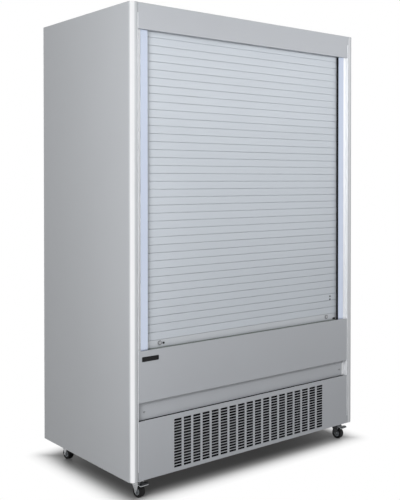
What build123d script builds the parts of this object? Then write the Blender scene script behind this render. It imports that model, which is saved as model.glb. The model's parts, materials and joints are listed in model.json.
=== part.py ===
"""Multideck display fridge closed by an aluminium roller shutter, on four castors.

Millimetres. The origin is on the floor under the middle of the cabinet: +X to the
right, +Y towards the back, +Z up. The shutter faces -Y and is shown pulled down.
"""

import os
from math import cos, pi, radians, sin

from build123d import *

os.makedirs("parts", exist_ok=True)

# ---------------------------------------------------------------- driving sizes
# cabinet
cabinet_width = 1250.0
cabinet_depth = 695.0
body_height = 1817.0
underside_height = 75.0          # body above the floor
side_thickness = 37.0            # foamed side panel
insulation = 40.0                # foamed back, roof and tub
panel_skin = 0.8                 # steel skins of the foamed panels, whose core is left open
outer_corner_radius = 20.0
inner_corner_radius = 8.0
top_edge_radius = 3.0
sheet = 1.5                      # folded sheet steel
fold_radius = 1.6
fit_gap = 0.5                    # sheet parts between the side panels
rest_gap = 0.3                   # pieces that lie against each other
face_inset = 2.0                 # front sheets behind the side panels' front line
lip_wrap = 55.0                  # degrees that the side liners' lip rolls over the panel's edge
lip_gap = 0.1
return_inset = 1.0               # liner's return behind the guides' face
cover_inset = 24.0               # rear cover in front of the back line
vent_length = 100.0              # slots of the rear cover
vent_height = 12.0
vent_columns = 7
vent_rows = 3
vent_column_pitch = 140.0
vent_row_pitch = 32.0
vent_centre_height = 190.0       # above the body's underside
gland_x = 470.0
gland_height = 60.0              # above the body's underside
gland_bore = 9.0
gland_body = 16.0
gland_nut = 26.0                 # across the corners
gland_nut_thickness = 6.0
gland_inside = 12.0
gland_outside = 16.0
gland_rounding = 2.0

# front bands, all heights
kick_height = 228.0
strip_drop = 2.0                 # the strip reaches below the kick panel's top
strip_height = 70.5
strip_inset = 16.0               # behind the other front sheets
riser_height = 197.5
fascia_height = 100.0
fold_depth = 16.0                # return folds of the front sheets
hem_height = 12.0

# ventilation grille
slot_columns = 18
slot_rows = 17
slot_width = 37.0
slot_height = 7.0
slot_column_pitch = 47.4
slot_row_pitch = 11.46
grille_centre_height = 111.3     # above the body's underside

# roller shutter
shutter_inset = 27.0             # slat face behind the cabinet's front line
slat_thickness = 8.0
slat_pitch = 30.84
slat_body = 23.5                 # foamed part of a slat
slat_skin = 1.2
slat_hook = 6.0
bar_height = 28.6
seal_height = 5.7
seal_end_gap = 2.0               # seal's ends to the guides
slat_end_cover = 27.0            # slat length held inside each guide
guide_inset = 12.0
guide_face = 32.0
guide_groove = 15.0              # gap to the side liner, closed by the liner's return
guide_wall = 2.0
guide_depth = 26.0
slat_clearance = 1.0             # slats inside the guide's slot
brush_width = 6.0
hook_sheet = 1.0                 # thickness of a slat's hook
ledge_sheet = 0.8                # thickness of the ledge it hangs on
hook_play = 1.3                  # hook below the body of the slat above
ledge_drop = 2.9                 # ledge below the underside of its slat's body
neck_front = 2.4                 # neck behind the slat's face
ledge_play = 0.6
slat_groove = 1.0                # shadow groove between two slats
bar_wall = 2.2
barrel_diameter = 60.0
barrel_wall = 2.5
coil_diameter = 124.0
gudgeon_diameter = 12.0
gudgeon_length = 24.0
shaft_clearance = 0.05
bracket_thickness = 3.0
bracket_width = 74.0
bracket_reach = 30.0             # bracket below the barrel's axis
bracket_rise = 8.0               # bracket above the roof panel's underside
bracket_rounding = 10.0
barrel_end_gap = 9.0             # barrel's end to its bracket
barrel_cap = 8.0
coil_gap = 4.0                   # rolled curtain to the sheets around it
box_gap = 8.5                    # roller box behind the curtain
box_lip = 24.0
strap_width = 26.0
strap_thickness = 1.2
strap_count = 4

# shutter locks
lock_from_side = 152.0
lock_above_bar = 16.0
lock_ring_diameter = 19.0
lock_sleeve_diameter = 12.8
lock_plug_diameter = 9.6
lock_ring_height = 2.0
ring_chamfer = 0.8
cam_bite = 4.4                   # cam below the sill's top when locked
cam_width = 7.0
cam_thickness = 2.5
cam_gap = 0.8                    # cam behind the bottom bar
cam_side = 1.0                   # cam in the sill's slot
keyway_width = 1.6
keyway_height = 5.5
keyway_depth = 3.0
plug_inset = 0.4                 # plug behind the ring's face
stop_diameter = 9.0
stop_from_side = 169.6
stop_above_bar = 14.4
stop_proud = 3.0
stop_rounding = 1.2
oval_stop_length = 17.0
oval_stop_height = 8.0
oval_stop_from_side = 101.7
oval_stop_above_bar = 4.5

# name-plate blank and strip screws
badge_width = 77.0
badge_height = 18.5
badge_thickness = 1.4
badge_corner = 3.0
badge_chamfer = 0.4
badge_from_side = 90.6
badge_centre_height = 462.0
screw_from_side = 71.3
screw_height = 255.9             # above the body's underside
screw_shank = 4.0
screw_length = 10.0
screw_head = 8.0
screw_head_height = 2.2
screw_hole_gap = 0.1

# inside
upstand_thickness = 38.0
upstand_top_drop = 13.0          # below the riser panel's top
deck_height = 148.5              # deck above the tub's underside
duct_gap = 44.0
duct_slot_length = 90.0
duct_slot_height = 7.0
duct_slot_columns = 6
duct_slot_pitch = 170.0
duct_inlet_length = 220.0        # openings at the duct's foot
duct_inlet_height = 56.0
duct_inlet_count = 4
duct_inlet_pitch = 280.0
duct_inlet_rise = 40.0
deck_front_run = 75.0            # deck behind the front upstand
deck_back_gap = 8.0
deck_end_gap = 4.0
deck_lip = 20.0
deck_window_length = 150.0
deck_window_height = 60.0
deck_window_corner = 8.0
deck_window_count = 6
deck_window_pitch = 190.0
grille_rise = 30.0               # return grille's front above the deck
grille_lip = 10.0
grille_slot_width = 14.0
grille_slot_count = 30
grille_slot_pitch = 38.0
grille_border = 11.0
ceiling_drop = 95.0              # ceiling below the roof panel
shelf_count = 4
shelf_pitch = 245.0
shelf_depth = 380.0
shelf_lip = 30.0
shelf_hem = 10.0
shelf_stop = 14.0                # turned-up rear edge
shelf_back_gap = 4.0
shelf_end_gap = 12.0
bracket_plate = 2.5
bracket_root = 62.0
bracket_tip = 22.0
bracket_heel = 20.0              # depth of the bracket's full height
bracket_setback = 60.0           # bracket's tip behind the shelf's front
hook_height = 14.0
hook_shoulder = 8.0              # hook below the shelf's underside
upright_width = 30.0
upright_depth = 12.0
upright_side_gap = 6.0
upright_foot = 30.0              # above the deck
upright_head = 25.0              # below the ceiling
upright_slots_per_shelf = 5
slot_play = 1.5                  # bracket's plate in the upright's slot
slot_extra = 6.0                 # slot taller than the hook
price_rail_height = 38.0
price_rail_thickness = 5.0
price_rail_edge = 2.0
price_rail_rise = 3.0            # rail's top above the shelf
price_rail_drop = 4.0
discharge_depth = 88.0
discharge_height = 12.0
discharge_gap = 2.5
discharge_border = 6.0
cell_width = 30.0
cell_pitch = 34.0
cell_count = 34
light_gap = 40.0                 # lamp in front of the discharge grille
light_width = 30.0
light_height = 15.0
light_length = 1000.0

# refrigeration
pan_height = 35.0
pan_wall = 2.0
compressor_x = -330.0
compressor_y = 90.0
compressor_diameter = 168.0
compressor_height = 196.0
compressor_rim = 24.0
compressor_dome_flat = 8.0
compressor_foot_height = 16.0
compressor_foot_diameter = 26.0
compressor_foot_plate = 6.0
compressor_foot_spread = 40.0
compressor_foot_corner = 18.0
compressor_foot_inset = 16.0
terminal_width = 62.0
terminal_depth = 36.0
terminal_height = 48.0
terminal_rise = 50.0
terminal_corner = 5.0
terminal_sunk = 12.0             # terminal box inside the shell's outline
condenser_x = 150.0
condenser_gap = 8.0              # coil behind the base pan's front wall
condenser_width = 380.0
condenser_height = 226.0
condenser_thickness = 44.0
condenser_fin_pitch = 16.0
condenser_bends = 3
evaporator_front = -20.0
evaporator_width = 960.0
evaporator_height = 84.0
evaporator_thickness = 130.0
evaporator_fin_pitch = 30.0
evaporator_bends = 2
fin_thickness = 5.0
fin_border = 6.0
fin_rise = 5.0
coil_spine = 10.0                # solid back that the fins stand on
condenser_fan_diameter = 200.0
evaporator_fan_diameter = 84.0
fan_tip_gap = 4.0
fan_blades = 5
fan_pitch_angle = 30.0
fan_blade_thickness = 1.6
blade_root = 2.0                 # blade sunk in the hub
blade_root_half = 0.35           # shares of the hub's length
blade_tip_half = 0.62
shaft_diameter = 8.0
shaft_cover = 3.0                # hub's closed front
shaft_start = 4.0
condenser_hub_diameter = 56.0
condenser_hub = 26.0
condenser_fan_gap = 17.0         # fan behind the shroud's plate
shroud_depth = 34.0
motor_diameter = 64.0
motor_length = 52.0
motor_gap = 2.0
motor_arm_width = 14.0
motor_arm_thickness = 3.0
weld_lap = 1.0                   # overlap of parts welded into one piece
evaporator_fan_x = 230.0
evaporator_fan_gap = 42.0        # fan in front of the evaporator
evaporator_hub_diameter = 34.0
evaporator_hub = 16.0
evaporator_motor_diameter = 40.0
evaporator_motor_length = 22.0
evaporator_motor_gap = 1.5
evaporator_arm_width = 8.0
evaporator_arm_post = 5.0
evaporator_arm_set = 4.0         # arm behind the motor's front
fan_plate_gap = 6.0              # fan plate in front of the fans' middle
pipe_diameter = 10.0
pipe_bend = 18.0
liquid_bend = 13.0
pipe_height = 73.0               # above the base pan's floor
discharge_run = 70.0
suction_run = 45.0
liquid_run = 90.0
liquid_inset = 20.0
liquid_drop = 30.0
tray_x = 230.0
tray_y = 170.0
tray_width = 340.0
tray_depth = 250.0
tray_height = 34.0
tray_wall = 2.0
tray_corner = 14.0
box_x = 490.0
box_width = 140.0
box_height = 180.0
box_depth = 120.0
box_wall = 2.0
box_inset = 20.0                 # electrical box behind the base pan's front wall
switch_width = 20.0
switch_height = 26.0
switch_from_top = 40.0
switch_gap = 0.6
rocker_depth = 8.0
rocker_waist = 6.0
rocker_nose = 3.0
rocker_axis_depth = 5.0
rocker_end_gap = 1.5
rocker_tilt = 7.0                # resting tilt, its upper half out

# castors
castor_side_inset = 60.0
castor_front_inset = 58.0
castor_rear_inset = 85.0
castor_turn = -86.0              # direction of the trailing wheels, from +X
castor_plate = 60.0
castor_plate_thickness = 2.5
castor_plate_corner = 5.0
plate_hole = 6.4
plate_hole_inset = 8.5
castor_trail = 20.0
castor_race_diameter = 42.0
castor_race_height = 8.0
race_taper = 12.0
kingpin_diameter = 8.0
kingpin_head = 12.8
kingpin_head_height = 2.5
wheel_diameter = 50.0
wheel_width = 24.0
wheel_boss = 16.0
wheel_dish = 3.0
tyre_height = 8.0
tread_drop = 3.0                 # tread's shoulder below its crown
tread_crown = 12.0
axle_diameter = 6.0
axle_nut = 11.0                  # across the corners
axle_nut_height = 3.5
axle_end = 2.5
fork_wall = 2.0
fork_crown = 3.0
fork_side_gap = 1.5
fork_foot = 7.0                  # radius of a fork leg's lower end
fork_head_front = 28.0           # leg's upper edge, before and behind the swivel
fork_head_back = 10.0
pedal_pin = 5.0
pedal_pin_run = 27.0             # pin ahead of the swivel
pedal_pin_gap = 2.6              # pin above the wheel
pedal_eye = 1.6
pedal_side_gap = 0.4
pedal_drop = 0.4                 # pedal's top below the eye's
pedal_thickness = 2.2
pedal_width = 46.0
pedal_reach = 57.0               # pedal's tip ahead of the swivel
pedal_start = 11.0
pedal_tip = 8.0
pedal_tip_drop = 3.8
pedal_corner = 7.0

# ---------------------------------------------------------------- derived places
half_width = cabinet_width / 2
front_y = -cabinet_depth / 2
back_y = cabinet_depth / 2
base_z = underside_height
top_z = base_z + body_height
inner_x = half_width - side_thickness
liner_x = inner_x - sheet
band_x = liner_x - fit_gap
face_y = front_y + face_inset

kick_top = base_z + kick_height
strip_bottom = kick_top - strip_drop
strip_top = strip_bottom + strip_height
riser_bottom = strip_top + rest_gap
riser_top = riser_bottom + riser_height
fascia_bottom = top_z - fascia_height
roof_bottom = top_z - insulation
tub_bottom = riser_bottom + sheet + rest_gap
tub_floor = tub_bottom + insulation
deck_z = tub_bottom + deck_height
wall_y = back_y - insulation
duct_y = wall_y - duct_gap
ceiling_z = roof_bottom - ceiling_drop
sill_top = riser_top - seal_height - rest_gap
upstand_top = riser_top - upstand_top_drop
upstand_front = face_y + 2 * sheet + rest_gap
upstand_back = upstand_front + upstand_thickness

slat_front = front_y + shutter_inset
slat_back = slat_front + slat_thickness
bar_bottom = riser_top
bar_top = bar_bottom + bar_height
guide_front = front_y + guide_inset
guide_back = guide_front + guide_depth
guide_outer = liner_x - guide_groove
guide_inner = guide_outer - guide_face
slat_half = guide_inner + slat_end_cover
coil_radius = coil_diameter / 2
barrel_y = face_y + sheet + coil_gap + coil_radius
barrel_z = top_z - sheet - coil_gap - coil_radius
box_back = barrel_y + coil_radius + coil_gap
box_front = slat_back + box_gap
guide_top = fascia_bottom - rest_gap
guide_foot = sill_top + rest_gap
slat_count = int((barrel_z - bar_top) // slat_pitch)


# ---------------------------------------------------------------- shared helpers
def across(y):
    """Plane facing the front at depth y: local x is +X and local y is +Z."""
    return Plane.XZ.offset(-y)


def lengthwise(x=0.0):
    """Plane across the cabinet's length at x: local x is +Y and local y is +Z."""
    return Plane.YZ.offset(x)


def level(z):
    """Horizontal plane at height z."""
    return Plane.XY.offset(z)


def save(piece, label):
    """Label a finished piece and write its STEP file."""
    piece.part.label = label
    export_step(piece.part, f"parts/{label}.step")


def outline(*points):
    """Straight-sided face, its corners given in the sketch's own coordinates."""
    Polygon(*points, align=None)


def folded(points, thickness=sheet):
    """Face of a folded sheet whose outer skin follows the points, walls inside."""
    with BuildLine() as skin:
        FilletPolyline(*points, radius=fold_radius)
        offset(amount=thickness, side=Side.RIGHT)
    make_face(skin.edges())


# ---------------------------------------------------------------- cabinet shell
for side, sign in (("left", -1), ("right", 1)):
    with BuildPart() as side_panel:
        with BuildSketch(level(base_z)) as plan:
            with Locations((sign * (half_width - side_thickness / 2), 0)):
                Rectangle(side_thickness, cabinet_depth)
            front_pair = plan.vertices().group_by(Axis.Y)[0].sort_by(Axis.X)
            fillet(front_pair[0 if sign < 0 else 1], radius=outer_corner_radius)
            front_inner = plan.vertices().filter_by(
                lambda v: abs(abs(v.X) - inner_x) < 0.01 and v.Y < front_y + 1
            )
            fillet(front_inner, radius=inner_corner_radius)
        extrude(amount=body_height)
        fillet(side_panel.edges().group_by(Axis.Z)[-1], radius=top_edge_radius)
        offset(amount=-panel_skin, mode=Mode.SUBTRACT)
    save(side_panel, f"side_panel_{side}")

liner_front = front_y + inner_corner_radius
with BuildPart() as side_liners:
    with BuildSketch(level(base_z + pan_height)):
        with Locations((inner_x - sheet / 2, (liner_front + wall_y) / 2)):
            Rectangle(sheet, wall_y - liner_front)
        with BuildLine():
            lip_centre = (inner_x + inner_corner_radius, liner_front)
            lip_outer = CenterArc(lip_centre, inner_corner_radius + sheet, 180, lip_wrap)
            lip_inner = CenterArc(lip_centre, inner_corner_radius + lip_gap, 180, lip_wrap)
            Line(lip_outer @ 0, lip_inner @ 0)
            Line(lip_outer @ 1, lip_inner @ 1)
        make_face()
    extrude(amount=roof_bottom - base_z - pan_height)
    with BuildSketch(level(guide_foot)):
        return_reach = guide_groove - rest_gap
        with Locations((liner_x - return_reach / 2, guide_front + return_inset + sheet / 2)):
            Rectangle(return_reach, sheet)
    extrude(amount=guide_top - guide_foot)
    mirror(about=Plane.YZ)
save(side_liners, "side_liners")

pan_front = face_y + fold_depth + fit_gap
pan_back = back_y - cover_inset
with BuildPart() as base_pan:
    with BuildSketch(level(base_z)):
        with Locations((0, (pan_front + pan_back) / 2)):
            Rectangle(2 * inner_x - 2 * fit_gap, pan_back - pan_front)
    extrude(amount=pan_height)
    pan_mouth = base_pan.faces().sort_by(Axis.Z)[-1]
    offset(amount=-pan_wall, openings=pan_mouth)
save(base_pan, "base_pan")

with BuildPart() as tub:
    with BuildSketch(lengthwise()) as tub_section:
        outline(
            (upstand_front, tub_bottom),
            (upstand_front, upstand_top),
            (upstand_back, upstand_top),
            (upstand_back, tub_floor),
            (wall_y, tub_floor),
            (wall_y, tub_bottom),
        )
        inner_bend = tub_section.vertices().sort_by_distance((0, upstand_back, tub_floor))[0]
        fillet(inner_bend, radius=inner_corner_radius)
    extrude(amount=band_x, both=True)
    offset(amount=-panel_skin, mode=Mode.SUBTRACT)
save(tub, "tub")

with BuildPart() as back_wall:
    with BuildSketch(level(tub_bottom)):
        with Locations((0, (wall_y + back_y) / 2)):
            Rectangle(2 * inner_x - 2 * fit_gap, insulation)
    extrude(amount=roof_bottom - tub_bottom)
    offset(amount=-panel_skin, mode=Mode.SUBTRACT)
save(back_wall, "back_wall")

with BuildPart() as roof_panel:
    with BuildSketch(level(roof_bottom)):
        with Locations((0, (box_back + sheet + rest_gap + back_y) / 2)):
            Rectangle(2 * inner_x - 2 * fit_gap, back_y - box_back - sheet - rest_gap)
    extrude(amount=insulation)
    offset(amount=-panel_skin, mode=Mode.SUBTRACT)
save(roof_panel, "roof_panel")

with BuildPart() as fascia_panel:
    with BuildSketch(lengthwise()):
        folded(
            [
                (face_y + fold_depth, fascia_bottom + hem_height),
                (face_y + fold_depth, fascia_bottom),
                (face_y, fascia_bottom),
                (face_y, top_z),
                (box_back + sheet, top_z),
            ]
        )
    extrude(amount=band_x, both=True)
save(fascia_panel, "fascia_panel")

with BuildPart() as riser_panel:
    with BuildSketch(lengthwise()) as riser_section:
        outline(
            (face_y, riser_bottom),
            (face_y, riser_top),
            (face_y + 2 * sheet, riser_top),
            (face_y + 2 * sheet, riser_top - hem_height),
            (face_y + sheet, riser_top - hem_height),
            (face_y + sheet, riser_bottom + sheet),
            (face_y + fold_depth, riser_bottom + sheet),
            (face_y + fold_depth, riser_bottom),
        )
        riser_corners = riser_section.vertices().group_by(Axis.Y)[0]
        fillet(riser_corners, radius=sheet - 0.1)
    extrude(amount=band_x, both=True)
save(riser_panel, "riser_panel")

with BuildPart() as badge_plate:
    with BuildSketch(across(face_y)):
        with Locations((badge_from_side - half_width, base_z + badge_centre_height)):
            RectangleRounded(badge_width, badge_height, badge_corner)
    extrude(amount=badge_thickness)
    chamfer(badge_plate.faces().sort_by(Axis.Y)[0].edges(), length=badge_chamfer)
save(badge_plate, "badge_plate")

strip_y = face_y + strip_inset
screw_z = base_z + screw_height
with BuildPart() as trim_strip:
    with BuildSketch(lengthwise()):
        outline(
            (strip_y, strip_bottom),
            (strip_y, strip_top),
            (strip_y + fold_depth, strip_top),
            (strip_y + fold_depth, strip_top - sheet),
            (strip_y + sheet, strip_top - sheet),
            (strip_y + sheet, strip_bottom),
        )
    extrude(amount=band_x, both=True)
    with BuildSketch(across(strip_y)):
        with GridLocations(2 * (half_width - screw_from_side), 1, 2, 1):
            with Locations((0, screw_z)):
                Circle(screw_shank / 2 + screw_hole_gap)
    extrude(amount=-sheet, mode=Mode.SUBTRACT)
save(trim_strip, "trim_strip")

with BuildPart() as trim_screws:
    with BuildSketch(across(strip_y)):
        with GridLocations(2 * (half_width - screw_from_side), 1, 2, 1):
            with Locations((0, screw_z)):
                Circle(screw_shank / 2)
    extrude(amount=-screw_length)
    with BuildSketch(across(strip_y)):
        with GridLocations(2 * (half_width - screw_from_side), 1, 2, 1):
            with Locations((0, screw_z)):
                Circle(screw_head / 2)
    extrude(amount=screw_head_height, taper=25)
save(trim_screws, "trim_screws")

with BuildPart() as kick_panel:
    with BuildSketch(lengthwise()) as kick_section:
        outline(
            (face_y, base_z),
            (face_y, kick_top),
            (face_y + 2 * sheet, kick_top),
            (face_y + 2 * sheet, kick_top - hem_height),
            (face_y + sheet, kick_top - hem_height),
            (face_y + sheet, base_z + sheet),
            (face_y + fold_depth, base_z + sheet),
            (face_y + fold_depth, base_z),
        )
        kick_corners = kick_section.vertices().group_by(Axis.Y)[0]
        fillet(kick_corners, radius=sheet - 0.1)
    extrude(amount=band_x, both=True)
    with BuildSketch(across(face_y)):
        with Locations((0, base_z + grille_centre_height)):
            with GridLocations(slot_column_pitch, slot_row_pitch, slot_columns, slot_rows):
                Rectangle(slot_width, slot_height)
    extrude(amount=-sheet, mode=Mode.SUBTRACT)
save(kick_panel, "kick_panel")

gland_z = base_z + gland_height
cover_y = pan_back + rest_gap
with BuildPart() as rear_cover:
    with BuildSketch(across(cover_y)):
        with Locations((0, (base_z + tub_bottom - rest_gap) / 2)):
            Rectangle(2 * inner_x - 2 * fit_gap, tub_bottom - rest_gap - base_z)
        with Locations((0, base_z + vent_centre_height)):
            with GridLocations(vent_column_pitch, vent_row_pitch, vent_columns, vent_rows):
                SlotOverall(vent_length, vent_height, mode=Mode.SUBTRACT)
        with Locations((gland_x, gland_z)):
            Circle(gland_body / 2 + shaft_clearance, mode=Mode.SUBTRACT)
    extrude(amount=-sheet)
save(rear_cover, "rear_cover")

with BuildPart() as cable_gland:
    gland_length = gland_inside + sheet + gland_outside
    with BuildSketch(across(cover_y + sheet)):
        with Locations((gland_x, gland_z)):
            RegularPolygon(radius=gland_nut / 2, side_count=6)
    extrude(amount=-gland_nut_thickness)
    with BuildSketch(across(cover_y - gland_inside)):
        with Locations((gland_x, gland_z)):
            Circle(gland_body / 2)
    extrude(amount=-gland_length)
    fillet(cable_gland.faces().sort_by(Axis.Y)[-1].edges(), radius=gland_rounding)
    with BuildSketch(across(cover_y - gland_inside)):
        with Locations((gland_x, gland_z)):
            Circle(gland_bore / 2)
    extrude(amount=-gland_length, mode=Mode.SUBTRACT)
save(cable_gland, "cable_gland")

# ---------------------------------------------------------------- display space
with BuildPart() as air_duct:
    with BuildSketch(lengthwise()):
        folded(
            [
                (duct_y, tub_floor + rest_gap),
                (duct_y, ceiling_z),
                (box_back + discharge_depth, ceiling_z),
            ]
        )
    extrude(amount=band_x, both=True)
    with BuildSketch(across(duct_y)):
        with Locations((0, deck_z + shelf_pitch * (shelf_count + 1) / 2)):
            with GridLocations(duct_slot_pitch, shelf_pitch, duct_slot_columns, shelf_count + 1):
                Rectangle(duct_slot_length, duct_slot_height)
        with Locations((0, tub_floor + duct_inlet_rise)):
            with GridLocations(duct_inlet_pitch, 1, duct_inlet_count, 1):
                Rectangle(duct_inlet_length, duct_inlet_height)
    extrude(amount=-2 * sheet, both=True, mode=Mode.SUBTRACT)
save(air_duct, "air_duct")

deck_front = upstand_back + deck_front_run
deck_back = duct_y - deck_back_gap
deck_x = liner_x - deck_end_gap
with BuildPart() as deck_pan:
    with BuildSketch(lengthwise()):
        folded(
            [
                (deck_front, tub_floor + rest_gap),
                (deck_front, deck_z),
                (deck_back, deck_z),
                (deck_back, deck_z - deck_lip),
            ]
        )
    extrude(amount=deck_x, both=True)
    with BuildSketch(across(deck_front)):
        with Locations((0, (tub_floor + deck_z) / 2)):
            with GridLocations(deck_window_pitch, 1, deck_window_count, 1):
                RectangleRounded(deck_window_length, deck_window_height, deck_window_corner)
    extrude(amount=-2 * sheet, mode=Mode.SUBTRACT)
save(deck_pan, "deck_pan")

grille_run = deck_front - upstand_back
grille_foot = deck_z + rest_gap
grille_head = grille_foot + grille_rise
with BuildPart() as return_grille:
    with BuildSketch(lengthwise()):
        outline(
            (upstand_back + rest_gap, grille_head + sheet),
            (deck_front + grille_lip, grille_foot + sheet),
            (deck_front + grille_lip, grille_foot),
            (deck_front - deck_end_gap, grille_foot),
            (upstand_back + rest_gap + sheet, grille_head - sheet),
            (upstand_back + rest_gap + sheet, grille_head - hem_height),
            (upstand_back + rest_gap, grille_head - hem_height),
        )
    extrude(amount=deck_x, both=True)
    with BuildSketch(level(deck_z)):
        with Locations((0, upstand_back + grille_run / 2)):
            with GridLocations(grille_slot_pitch, 1, grille_slot_count, 1):
                Rectangle(grille_slot_width, grille_run - 2 * grille_border)
    extrude(amount=grille_rise + hem_height, mode=Mode.SUBTRACT)
save(return_grille, "return_grille")

with BuildPart() as discharge_grille:
    with BuildSketch(level(ceiling_z)):
        grate_depth = discharge_depth - discharge_gap
        with Locations((0, box_back + sheet + rest_gap + grate_depth / 2)):
            Rectangle(2 * deck_x, grate_depth)
            with GridLocations(cell_pitch, 1, cell_count, 1):
                Rectangle(cell_width, grate_depth - 2 * discharge_border, mode=Mode.SUBTRACT)
    extrude(amount=discharge_height)
save(discharge_grille, "discharge_grille")

upright_x = liner_x - upright_side_gap - upright_width / 2
upright_bottom = deck_z + upright_foot
upright_top = ceiling_z - upright_head
upright_front = duct_y - rest_gap - upright_depth
upright_slot_pitch = shelf_pitch / upright_slots_per_shelf
hook_drop = sheet + rest_gap + hook_shoulder + hook_height / 2     # hook below the shelf's top
with BuildPart() as shelf_uprights:
    with BuildSketch(level(upright_bottom)):
        for sign in (-1, 1):
            with Locations((sign * upright_x, upright_front + upright_depth / 2)):
                Rectangle(upright_width, upright_depth)
            with Locations((sign * upright_x, upright_front + upright_depth / 2 + sheet)):
                Rectangle(upright_width - 2 * sheet, upright_depth, mode=Mode.SUBTRACT)
    extrude(amount=upright_top - upright_bottom)
    lowest_slot = deck_z + 2 * upright_slot_pitch - hook_drop
    slot_count = int((upright_top - lowest_slot) // upright_slot_pitch)
    with BuildSketch(across(upright_front)):
        with Locations((0, lowest_slot + upright_slot_pitch * (slot_count - 1) / 2)):
            with GridLocations(2 * upright_x, upright_slot_pitch, 2, slot_count):
                Rectangle(bracket_plate + slot_play, hook_height + slot_extra)
    extrude(amount=-sheet, mode=Mode.SUBTRACT)
save(shelf_uprights, "shelf_uprights")

shelf_back = upright_front - rest_gap - shelf_back_gap
shelf_front = shelf_back - shelf_depth
shelf_half = liner_x - shelf_end_gap
shelf_tops = [deck_z + shelf_pitch * (k + 1) for k in range(shelf_count)]
with BuildPart() as shelves:
    for z in shelf_tops:
        with BuildSketch(lengthwise()):
            outline(
                (shelf_front, z - shelf_lip),
                (shelf_front, z),
                (shelf_back - sheet, z),
                (shelf_back - sheet, z + shelf_stop),
                (shelf_back, z + shelf_stop),
                (shelf_back, z - sheet),
                (shelf_front + sheet, z - sheet),
                (shelf_front + sheet, z - shelf_lip + sheet),
                (shelf_front + shelf_hem, z - shelf_lip + sheet),
                (shelf_front + shelf_hem, z - shelf_lip),
            )
        extrude(amount=shelf_half, both=True)
save(shelves, "shelves")

bracket_front = shelf_front + bracket_setback
with BuildPart() as shelf_brackets:
    for z in shelf_tops:
        under = z - sheet - rest_gap
        for sign in (-1, 1):
            with BuildSketch(lengthwise(sign * upright_x - bracket_plate / 2)):
                outline(
                    (bracket_front, under),
                    (upright_front - rest_gap, under),
                    (upright_front - rest_gap, z - hook_drop + hook_height / 2),
                    (upright_front + 3 * sheet, z - hook_drop + hook_height / 2),
                    (upright_front + 3 * sheet, z - hook_drop - hook_height / 2),
                    (upright_front - rest_gap, z - hook_drop - hook_height / 2),
                    (upright_front - rest_gap, under - bracket_root),
                    (upright_front - bracket_heel, under - bracket_root),
                    (bracket_front, under - bracket_tip),
                )
            extrude(amount=bracket_plate)
save(shelf_brackets, "shelf_brackets")

with BuildPart() as price_rails:
    for z in shelf_tops:
        rail_y = shelf_front - rest_gap
        with BuildSketch(lengthwise()):
            outline(
                (rail_y - price_rail_thickness, z - price_rail_height + price_rail_drop),
                (rail_y - price_rail_edge, z + price_rail_rise),
                (rail_y, z + price_rail_rise),
                (rail_y, z - price_rail_height + price_rail_drop),
            )
        extrude(amount=shelf_half, both=True)
save(price_rails, "price_rails")

light_y = box_back + discharge_depth + light_gap
with BuildPart() as led_light:
    with BuildSketch(lengthwise()) as light_section:
        with Locations((light_y, ceiling_z - rest_gap - light_height / 2)):
            Rectangle(light_width, light_height)
        light_corners = light_section.vertices().group_by(Axis.Z)[0]
        fillet(light_corners, radius=light_height * 0.45)
    extrude(amount=light_length / 2, both=True)
save(led_light, "led_light")

with BuildPart() as roller_box:
    with BuildSketch(lengthwise()):
        outline(
            (box_front, ceiling_z + box_lip),
            (box_front, ceiling_z),
            (box_back, ceiling_z),
            (box_back, roof_bottom - rest_gap),
            (box_back + sheet, roof_bottom - rest_gap),
            (box_back + sheet, ceiling_z - sheet),
            (box_front - sheet, ceiling_z - sheet),
            (box_front - sheet, ceiling_z + box_lip),
        )
    extrude(amount=liner_x - 2 * bracket_thickness, both=True)
save(roller_box, "roller_box")

# ---------------------------------------------------------------- shutter guides
slot_front = slat_front - slat_clearance
slot_back = slat_back + slat_clearance
with BuildPart() as shutter_guides:
    with BuildSketch(level(guide_foot)):
        for sign in (-1, 1):
            outline(
                (sign * guide_inner, guide_front),
                (sign * guide_outer, guide_front),
                (sign * guide_outer, guide_back - guide_wall),
                (sign * (liner_x - rest_gap), guide_back - guide_wall),
                (sign * (liner_x - rest_gap), guide_back),
                (sign * guide_inner, guide_back),
                (sign * guide_inner, slot_back),
                (sign * (slat_half + slat_clearance), slot_back),
                (sign * (slat_half + slat_clearance), slot_front),
                (sign * (guide_inner + brush_width), slot_front),
                (sign * (guide_inner + brush_width), guide_front + guide_wall),
                (sign * guide_inner, guide_front + guide_wall),
            )
    extrude(amount=guide_top - guide_foot)
save(shutter_guides, "shutter_guides")

with BuildPart() as guide_brushes:
    with BuildSketch(level(guide_foot)):
        for sign in (-1, 1):
            brush_y = (guide_front + guide_wall + slot_front) / 2
            with Locations((sign * (guide_inner + brush_width / 2), brush_y)):
                Rectangle(brush_width, slot_front - guide_front - guide_wall)
    extrude(amount=guide_top - guide_foot)
save(guide_brushes, "guide_brushes")

lock_x = half_width - lock_from_side
lock_z = bar_bottom + lock_above_bar
cam_length = lock_z - sill_top + cam_bite
cam_front = slat_back + cam_gap
cam_radius = cam_width / 2
with BuildPart() as shutter_sill:
    with BuildSketch(lengthwise()):
        outline(
            (upstand_front, upstand_top + rest_gap),
            (upstand_front, sill_top),
            (upstand_back, sill_top),
            (upstand_back, upstand_top + rest_gap),
        )
    extrude(amount=band_x, both=True)
    with BuildSketch(level(sill_top)):
        for sign in (-1, 1):
            with Locations((sign * lock_x + cam_radius, cam_front + cam_thickness / 2)):
                Rectangle(cam_length + cam_width, cam_thickness + 2 * cam_side)
    extrude(amount=-(sill_top - upstand_top - rest_gap), mode=Mode.SUBTRACT)
save(shutter_sill, "shutter_sill")

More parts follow.
